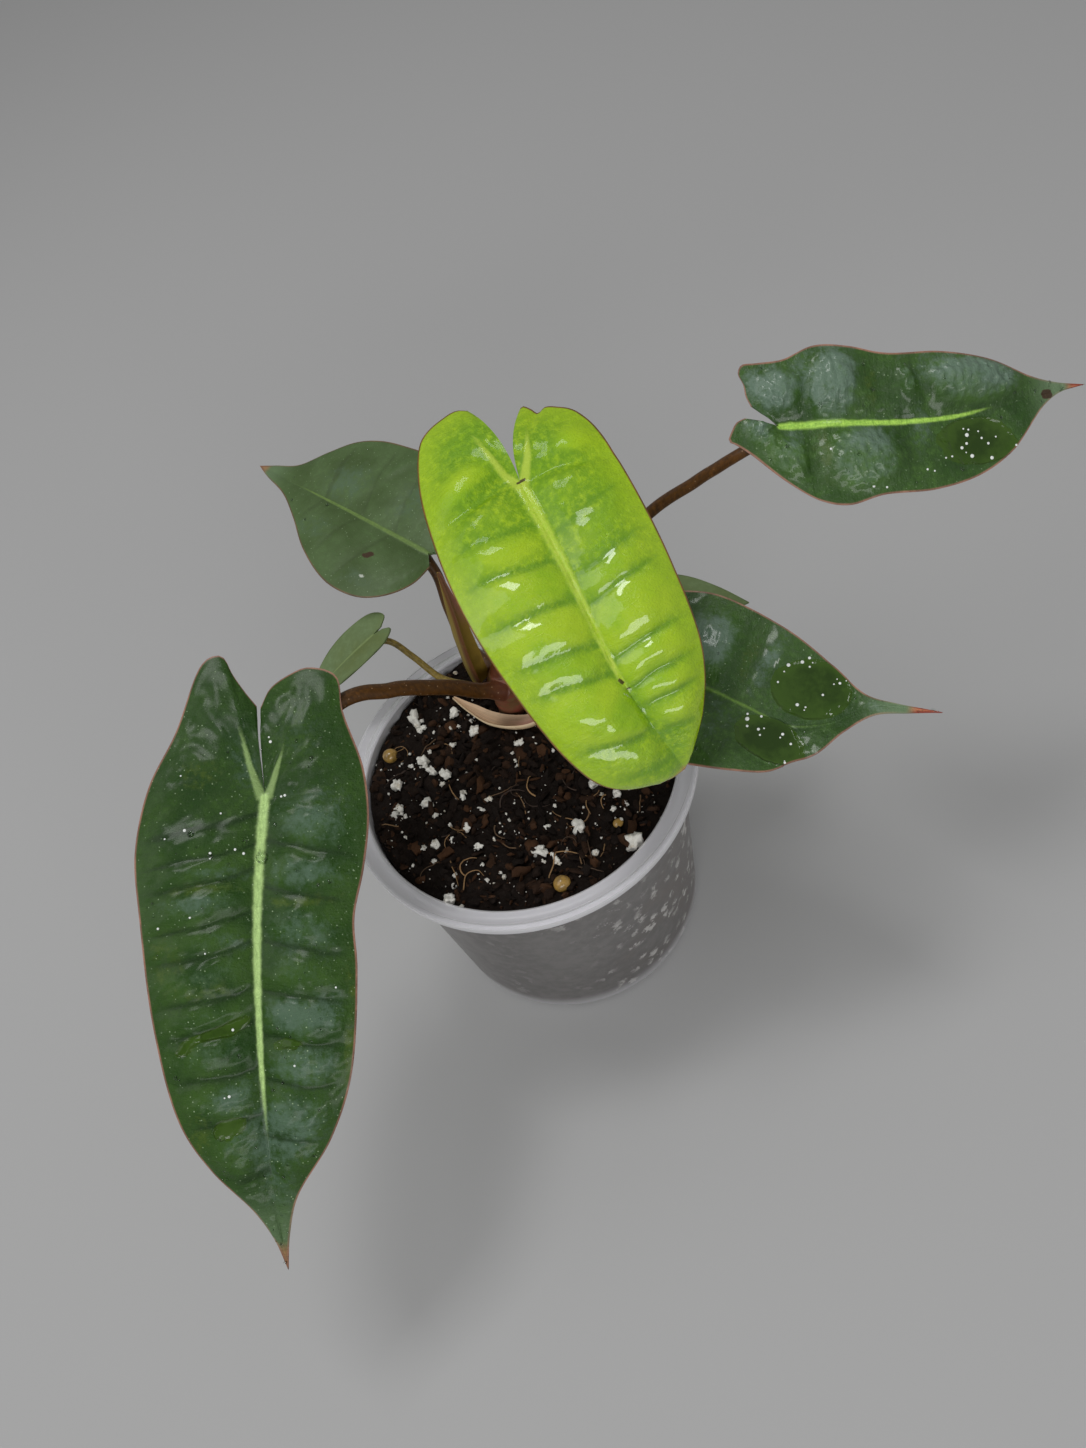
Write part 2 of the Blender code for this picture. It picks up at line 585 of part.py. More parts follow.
def build_blade(form):
    """The blade of one leaf."""
    blade = form.blade
    name = f"{blade.name}_blade"
    points, faces = blade_mesh(form)
    mesh = mesh_from(name, points, faces)
    face_outward(mesh)
    shade_round(mesh, 60.0)
    return add_object(name, mesh, make_material(name, blade.colour, blade.roughness))


def lean(heading, upright):
    """Sine of the angle between two directions."""
    return math.sqrt(max(0.0, 1.0 - float(np.dot(heading, upright)) ** 2))


def stalk_foot(stalk):
    """Where a stalk leaves the stem, its whole end clear of it by the gap."""
    if stalk.bearing is None:
        outward = np.array([0.0, 0.0, 1.0])
        seat = np.array([*STEM_PLACE, stalk.height])
    else:
        bearing = math.radians(stalk.bearing)
        outward = np.array([math.cos(bearing), math.sin(bearing), 0.0])
        seat = np.array([*STEM_PLACE, stalk.height]) + STEM_RADIUS * outward
    heading = unit(np.array(stalk.route[0]) - seat)
    return seat + outward * (GAP + stalk.foot_radius * lean(heading, outward))


def stalk_neck(stalk, form):
    """Where a stalk ends under its blade, its whole end clear of it by the gap."""
    place = np.array([STALK_FORWARD])
    surface = form.point(place, np.zeros(1), np.zeros(1))[0]
    upright = form.point(place, np.zeros(1), np.ones(1))[0] - surface
    heading = unit(surface - 2.0 * upright - np.array(stalk.route[-1]))
    return surface - upright * (BLADE_THICKNESS + 1.5 * GAP + stalk.neck_radius * lean(heading, upright))


def build_stalk(stalk, form):
    """The stalk of one leaf, from the stem to just under the sinus of its blade."""
    route = smooth_curve([stalk_foot(stalk), *stalk.route, stalk_neck(stalk, form)])
    count = STALK_POINTS * (len(stalk.route) + 1)
    places = np.linspace(0.0, 1.0, count)
    name = f"{stalk.leaf}_stalk"
    curve = bpy.data.curves.new(name, "CURVE")
    curve.dimensions = "3D"
    curve.bevel_depth = 1.0
    curve.bevel_resolution = 2
    curve.use_fill_caps = True
    spline = curve.splines.new("POLY")
    spline.points.add(count - 1)
    for knot, place, share in zip(spline.points, along(route, places), places):
        knot.co = (*(MM * place), 1.0)
        knot.radius = MM * (stalk.foot_radius + (stalk.neck_radius - stalk.foot_radius) * share)
    spline.use_smooth = True
    return add_object(name, curve, make_material(name, stalk.colour, 0.4))


def lathe(name, profile, sides):
    """Turn a profile of (radius, height) points round the Z axis; its ends lie on the axis."""
    shell = bmesh.new()
    rows = []
    for radius, height in profile:
        if radius <= 0.0:
            rows.append([shell.verts.new((0.0, 0.0, MM * height))])
            continue
        ring = []
        for k in range(sides):
            angle = 2.0 * math.pi * k / sides
            ring.append(shell.verts.new((MM * radius * math.cos(angle), MM * radius * math.sin(angle),
                                         MM * height)))
        rows.append(ring)
    for low, high in zip(rows, rows[1:]):
        for k in range(sides):
            after = (k + 1) % sides
            ring = [low[k % len(low)], low[after % len(low)], high[after % len(high)],
                    high[k % len(high)]]
            kept = [v for n, v in enumerate(ring) if v is not ring[n - 1]]
            shell.faces.new(kept)
    mesh = bpy.data.meshes.new(name)
    shell.to_mesh(mesh)
    shell.free()
    face_outward(mesh)
    return mesh


def arc(centre, radius, start, end, steps):
    """Points of a round stretch in a turned profile; angles in degrees."""
    angles = [math.radians(start + (end - start) * k / steps) for k in range(steps + 1)]
    return [(centre[0] + radius * math.cos(a), centre[1] + radius * math.sin(a)) for a in angles]


def cutter(name, radius, low, high, place, sides):
    """A round bar that cuts a hole."""
    mesh = lathe(name, [(0.0, low), (radius, low), (radius, high), (0.0, high)], sides)
    bar = bpy.data.objects.new(name, mesh)
    bpy.context.collection.objects.link(bar)
    bar.location = (MM * place[0], MM * place[1], 0.0)
    bar.hide_render = True
    bar.display_type = "WIRE"
    return bar


def cut(item, bar):
    """Cut a bar out of an object."""
    modifier = item.modifiers.new(bar.name, "BOOLEAN")
    modifier.operation = "DIFFERENCE"
    modifier.solver = "EXACT"
    modifier.object = bar


def build_pot(parent):
    """The cup: one moulded shell with a rolled rim and drain holes in its floor."""
    lip_bottom = POT_HEIGHT - POT_LIP_HEIGHT
    mouth = POT_RIM_RADIUS - POT_RIM_WIDTH
    bead = POT_WALL * 0.9
    foot = arc((POT_FOOT_RADIUS - POT_FOOT_ROUND, POT_FOOT_ROUND), POT_FOOT_ROUND, -90.0, 0.0, 3)
    roll = arc((POT_RIM_RADIUS - bead, POT_HEIGHT - bead), bead, 0.0, 90.0, 3)
    inner_foot = POT_FOOT_RADIUS - POT_WALL
    inner_mouth = mouth - POT_WALL
    skirt = POT_RIM_RADIUS - POT_WALL
    profile = [(0.0, 0.0), *foot,
               (mouth, lip_bottom + POT_SKIRT_STEP), (skirt, lip_bottom + POT_SKIRT_STEP),
               (skirt, lip_bottom), (POT_RIM_RADIUS, lip_bottom),
               *roll,
               (inner_mouth + POT_WALL, POT_HEIGHT), (inner_mouth, POT_HEIGHT - POT_WALL),
               (inner_foot, POT_FLOOR + POT_INNER_ROUND),
               (inner_foot - POT_INNER_ROUND, POT_FLOOR), (0.0, POT_FLOOR)]
    mesh = lathe("pot", profile, POT_SIDES)
    shade_round(mesh)
    pot = add_object("pot", mesh, make_material("pot", POT_COLOUR, 0.3), parent)
    for k in range(DRAIN_HOLES):
        angle = 2.0 * math.pi * (k + DRAIN_TURN) / DRAIN_HOLES
        place = (DRAIN_CIRCLE * math.cos(angle), DRAIN_CIRCLE * math.sin(angle))
        cut(pot, cutter(f"drain_cutter_{k}", DRAIN_RADIUS, -1.0, POT_FLOOR + 1.0, place,
                        DRAIN_SIDES))
    return pot


def scatter(draw, count, radii, rises):
    """Round bumps strewn over the soil: place, radius and rise of each."""
    reach = POT_RIM_RADIUS - POT_RIM_WIDTH - GRAINS_FROM_WALL
    bumps = []
    for _ in range(count):
        radius = reach * math.sqrt(draw.random())
        angle = 2.0 * math.pi * draw.random()
        size = draw.uniform(*radii)
        rise = draw.uniform(*rises)
        bumps.append((radius * math.cos(angle), radius * math.sin(angle), size, rise))
    return bumps


def soil_bumps():
    """The soft lumps of the soil, and the perlite grains and prills that stand out of it."""
    draw = np.random.default_rng(GRAIN_SEED)
    lumps = scatter(draw, LUMP_COUNT, LUMP_RADIUS, LUMP_RISE)
    grains = scatter(draw, GRAIN_COUNT, GRAIN_RADIUS, GRAIN_RISE)
    return lumps, grains


def soil_height(x, y, bumps):
    """Height of the lumpy soil surface, flat for a little way round the stem."""
    lumps, grains = bumps
    from_stem = math.hypot(x - STEM_PLACE[0], y - STEM_PLACE[1])
    height = SOIL_TOP + SOIL_MOUND * math.exp(-(from_stem / SOIL_MOUND_REACH) ** 2)
    if from_stem < STEM_HOLE_RADIUS + STEM_CLEARING:
        return height
    for lump_x, lump_y, size, rise in lumps:
        away = math.hypot(x - lump_x, y - lump_y) / size
        if away < 1.0:
            height += rise * (1.0 - away * away) ** 2
    grown = 0.0
    for grain_x, grain_y, size, rise in grains:
        away = math.hypot(x - grain_x, y - grain_y) / size
        if away < 1.0:
            grown = max(grown, rise * math.sqrt(1.0 - away * away))
    return height + grown


def build_soil(parent):
    """The soil: one fill with a lumpy top, and a plain hole that the stem stands in."""
    bumps = soil_bumps()
    foot_z = POT_FLOOR + GAP
    top_radius = POT_RIM_RADIUS - POT_RIM_WIDTH - POT_WALL - SOIL_SIDE_GAP
    foot_radius = POT_FOOT_RADIUS - POT_WALL - SOIL_SIDE_GAP
    points = [(0.0, 0.0, soil_height(0.0, 0.0, bumps))]
    faces = []
    for ring in range(1, SOIL_RINGS + 1):
        radius = top_radius * ring / SOIL_RINGS
        for k in range(SOIL_SPOKES):
            angle = 2.0 * math.pi * (k + 0.5 * (ring % 2)) / SOIL_SPOKES
            x = radius * math.cos(angle)
            y = radius * math.sin(angle)
            height = min(soil_height(x, y, bumps), POT_HEIGHT - SOIL_BELOW_RIM)
            points.append((x, y, height))
    for radius, height in ((foot_radius, foot_z + SOIL_FOOT_ROUND),
                           (foot_radius - SOIL_FOOT_ROUND, foot_z)):
        for k in range(SOIL_SPOKES):
            angle = 2.0 * math.pi * (k + 0.5 * (SOIL_RINGS % 2)) / SOIL_SPOKES
            points.append((radius * math.cos(angle), radius * math.sin(angle), height))
    points.append((0.0, 0.0, foot_z))
    for k in range(SOIL_SPOKES):
        faces.append((0, 1 + k, 1 + (k + 1) % SOIL_SPOKES))
    for ring in range(SOIL_RINGS + 1):
        low = 1 + ring * SOIL_SPOKES
        high = low + SOIL_SPOKES
        shifted = ring % 2 and ring < SOIL_RINGS - 1
        for k in range(SOIL_SPOKES):
            after = (k + 1) % SOIL_SPOKES
            if shifted:
                faces.append((low + k, high + k, low + after))
                faces.append((low + after, high + k, high + after))
            else:
                faces.append((low + k, high + k, high + after))
                faces.append((low + k, high + after, low + after))
    last = len(points) - 1
    low = last - SOIL_SPOKES
    for k in range(SOIL_SPOKES):
        faces.append((low + k, last, low + (k + 1) % SOIL_SPOKES))
    mesh = mesh_from("soil", points, faces)
    face_outward(mesh)
    shade_round(mesh, 75.0)
    soil = add_object("soil", mesh, make_material("soil", SOIL_COLOUR, 0.9), parent)
    cut(soil, cutter("stem_hole_cutter", STEM_HOLE_RADIUS, STEM_BOTTOM - GAP, STEM_TOP, STEM_PLACE,
                     STEM_HOLE_SIDES))
    return soil


def build_stem(parent):
    """The short stem, ringed where old leaves stood."""
    profile = [(0.0, STEM_BOTTOM), (2.6, STEM_BOTTOM), (4.0, STEM_BOTTOM + 4.0)]
    for k, height in enumerate(np.linspace(STEM_BOTTOM + 9.0, STEM_TOP - 6.0, STEM_RING_ROWS)):
        ring = STEM_RING_DEPTH if k % 2 else 0.0
        profile.append((STEM_RADIUS - ring, height))
    profile += [(4.1, STEM_TOP - 3.0), (3.2, STEM_TOP - 0.8), (2.2, STEM_TOP), (0.0, STEM_TOP)]
    mesh = lathe("stem", profile, STEM_SIDES)
    shade_round(mesh, 50.0)
    stem = add_object("stem", mesh, make_material("stem", STEM_GREEN, 0.5), parent)
    stem.location = (MM * STEM_PLACE[0], MM * STEM_PLACE[1], 0.0)
    return stem


def build_sheath(name, route, half_widths, hollow, curl, colour, parent):
    """A sheath: a strip curled lengthwise like a gutter, open towards its hollow side."""
    curve = smooth_curve(route)
    places = np.linspace(0.0, 1.0, SHEATH_ROWS + 1)
    centres = along(curve, places)
    widths = np.interp(places, np.linspace(0.0, 1.0, len(half_widths)), half_widths)
    hollow = unit(hollow)
    points = []
    for i, centre in enumerate(centres):
        ahead = unit(centres[min(i + 1, SHEATH_ROWS)] - centres[max(i - 1, 0)])
        open_side = unit(hollow - np.dot(hollow, ahead) * ahead)
        across = np.cross(ahead, open_side)
        for layer in (0.0, SHEATH_THICKNESS):
            for k in range(SHEATH_COLUMNS + 1):
                share = 2.0 * k / SHEATH_COLUMNS - 1.0
                depth = curl * widths[i] * (share * share * 2.0 - 1.0) + layer
                wide = widths[i] - 0.25 * layer * abs(share)
                points.append(centre + across * share * wide + open_side * depth)
    row = 2 * (SHEATH_COLUMNS + 1)
    faces = []
    for i in range(SHEATH_ROWS):
        for k in range(SHEATH_COLUMNS):
            for layer in (0, SHEATH_COLUMNS + 1):
                a = i * row + layer + k
                ring = (a, a + 1, a + row + 1, a + row)
                ring = ring if layer else ring[::-1]
                faces.append(ring[:3])
                faces.append((ring[0], ring[2], ring[3]))
        for k in (0, SHEATH_COLUMNS):
            a = i * row + k
            b = a + SHEATH_COLUMNS + 1
            ring = (a, a + row, b + row, b) if k == 0 else (a, b, b + row, a + row)
            faces.append(ring[:3])
            faces.append((ring[0], ring[2], ring[3]))
    for i in (0, SHEATH_ROWS):
        for k in range(SHEATH_COLUMNS):
            a = i * row + k
            b = a + SHEATH_COLUMNS + 1
            ring = (a, b, b + 1, a + 1) if i == 0 else (a, a + 1, b + 1, b)
            faces.append(ring[:3])
            faces.append((ring[0], ring[2], ring[3]))
    mesh = mesh_from(name, points, faces)
    face_outward(mesh)
    shade_round(mesh, 50.0)
    return add_object(name, mesh, make_material(name, colour, 0.45), parent)


def build_plant():
    """Every sub-part, in the order in which the plant stands in its cup."""
    origin = bpy.data.objects.new("plant_origin", None)
    bpy.context.collection.objects.link(origin)
    build_pot(origin)
    build_soil(origin)
    build_stem(origin)
    build_sheath("sheath_standing", STANDING_SHEATH, STANDING_HALF_WIDTH, STANDING_HOLLOW,
                 STANDING_CURL, SHEATH_OLIVE, origin)
    build_sheath("sheath_fallen", FALLEN_SHEATH, FALLEN_HALF_WIDTH, FALLEN_HOLLOW,
                 FALLEN_CURL, SHEATH_CREAM, origin)
    forms = {blade.name: BladeForm(blade) for blade in BLADES}
    for form in forms.values():
        build_blade(form).parent = origin
    for stalk in STALKS:
        build_stalk(stalk, forms[stalk.leaf]).parent = origin


clear_scene()
build_plant()
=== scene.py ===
"""Looks of a young philodendron billietiae in a clear nursery cup.

Sizes and places are in millimetres, and MM turns them into metres where a mesh is made. Only the
stage and the setting of the blades' thickness are in metres. The origin is the centre of the
cup's foot and +Z is up.
"""
import math
from dataclasses import dataclass

import bpy
import numpy as np
from bpy.props import FloatProperty, FloatVectorProperty, IntProperty, PointerProperty
from mathutils import Matrix, Vector, noise


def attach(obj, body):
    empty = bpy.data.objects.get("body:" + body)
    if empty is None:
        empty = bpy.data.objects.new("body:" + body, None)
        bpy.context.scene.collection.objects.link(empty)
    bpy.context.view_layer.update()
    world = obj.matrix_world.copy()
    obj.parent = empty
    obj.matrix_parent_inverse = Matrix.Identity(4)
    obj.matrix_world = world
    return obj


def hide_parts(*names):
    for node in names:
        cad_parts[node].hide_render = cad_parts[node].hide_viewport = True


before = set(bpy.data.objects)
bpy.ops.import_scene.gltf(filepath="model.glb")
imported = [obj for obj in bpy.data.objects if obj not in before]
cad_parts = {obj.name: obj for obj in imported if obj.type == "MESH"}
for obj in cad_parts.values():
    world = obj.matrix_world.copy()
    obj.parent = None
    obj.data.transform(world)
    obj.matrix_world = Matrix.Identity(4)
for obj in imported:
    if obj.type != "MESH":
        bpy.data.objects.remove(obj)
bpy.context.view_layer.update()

bl_info = {
    "name": "Young Philodendron in a Cup",
    "version": (1, 0, 0),
    "blender": (4, 5, 0),
    "location": "3D View > Sidebar > Philodendron",
    "description": "Dresses the potted philodendron: leaves, stalks, sheaths, soil, cup and stage",
    "category": "Add Mesh",
}

MM = 0.001

# Cup
POT_HEIGHT = 72.0
RIM_RADIUS = 45.0
RIM_WIDTH = 4.1
LIP_HEIGHT = 3.1
FOOT_RADIUS = 36.6
FOOT_ROUND = 3.0
WALL = 0.9
FLOOR = 1.2
INNER_ROUND = 1.8
WALL_STEPS = 26

# Soil
SOIL_TOP = 69.4
SOIL_RADIUS = 39.5
SOIL_FOOT_RADIUS = 35.2
SOIL_FLOOR = 1.7
SOIL_RINGS = 78
SOIL_SPOKES = 240

# Stem
STEM_PLACE = (5.5, 18.5)
STEM_TOP = 86.2
STEM_RADIUS = 4.5
STEM_SIDES = 40

# Stalks and rootlets
STALK_SIDES = 26
STALK_STEP = 0.9
FIBRE_STEPS = 14
FIBRE_SIDES = 6

# Sheaths
SHEATH_ROWS = 70
SHEATH_COLUMNS = 22
SHEATH_THICKNESS = 0.45

# Blades: widths over which the relief comes in, where a stalk meets the midrib, how far the rows
# of a blade bend towards its tip, and the width of a vein
SWELL_WIDTH = 14.0
PUFF_WIDTHS = (4.0, 12.0)
STALK_FORWARD = 1.6
SWEEP = 0.18
VEIN_WIDTH = 0.5

# Noise over a blade: size, octaves and seed of its drift, fine folds, coarse folds and worms
BLADE_FIELDS = ((11.0, 2, 3.0), (2.1, 3, 9.0), (6.0, 2, 5.0), (1.9, 1, 21.0))

# Seeds of the random draws
CRUMB_SEED = 11
GRAIN_SEED = 23
ROOTLET_SEED = 41
DROP_SEED = 5

# Stage, in metres but for the lens and the sensor. A light has a name, a place, a target, a width,
# a height and the name of the setting that holds its power. The camera's axes point to its right,
# its top and its back.
FLOOR_REACH = 6.0
LIGHTS = (("key_light", (-0.9, 0.05, 1.15), (0.0, 0.0, 0.08), 0.9, 0.9, "key_power"),
          ("glint_light", (-0.10, 0.20, 1.0), (0.0, 0.0, 0.1), 0.30, 0.22, "glint_power"),
          ("fill_light", (-0.15, -1.05, 0.55), (0.0, 0.0, 0.08), 1.1, 0.3, "fill_power"))
CAMERA_PLACE = (0.0, -0.167, 0.3065)
CAMERA_AXES = ((0.91286, -0.34477, -0.21868), (0.40687, 0.72383, 0.55724), (-0.03383, -0.59766, 0.80104))
CAMERA_LENS = 28.59
CAMERA_SENSOR = 36.0


@dataclass
class Leaf:
    """One leaf blade.

    Its outline is given on the flattened blade: the first number of a point is the way from the
    sinus towards the tip, the second is the way out to the left (+) or right (-) of the midrib.
    Veins are ways along the midrib, and puffs the heights of the quilts between them. A dent is
    (way, side, long, wide, turn in degrees, height), a pool the same without a height, a spot the
    same with a strength: brown above 0 and white below, where the white is a real scar on leaf_e
    and a painted highlight on leaf_a and leaf_d. A sheen patch is the same with a strength: above 0
    a blue-grey painted sheen that stands for the lights' reflection, below 0 the leaf's own olive
    tone. The brim is how far the pools stand above their edges, and a lens is a large drop: (way,
    side, radius); a glint pearl is a white bead of the same kind, a painted highlight that stands
    for the glint on a dew drop. The two inner numbers bow the lobes' edges towards the sinus. The
    bow holds the midrib's slope in degrees at shares of its length, and facing is the way that the
    upper side looks. The lobes' part of the margin is the part behind the fan, and the ribs are the
    large veins of the two lobes.
    """
    name: str
    look: str
    sinus: tuple
    tip: tuple
    bow: tuple
    midrib: list
    left: list
    right: list
    facing: tuple = (-0.03, -0.6, 0.8)
    inner: tuple = (0.0, 0.0)
    fan: float = 8.0
    rise: float = 0.0
    swell: float = 0.0
    veins: tuple = ((), ())
    puffs: tuple = ((), ())
    slant: float = 0.2
    spread: tuple = (0.8, 1.1)
    dents: tuple = ()
    pools: tuple = ()
    brim: float = 0.0
    spots: tuple = ()
    sheen_and_olive_patches: tuple = ()
    lenses: tuple = ()
    glint_pearls: tuple = ()
    ribs: tuple = ((), ())
    rib_width: float = 1.1
    rib_end: tuple = (0.5, 0.9)
    rib_strength: float = 1.0
    crinkle: float = 0.1
    worms: float = 0.0
    tip_from: float = 0.93
    tip_strength: float = 1.0
    drops: int = 0
    beads: int = 0
    rows: int = 150
    lobe_rows: int = 44
    columns: int = 30


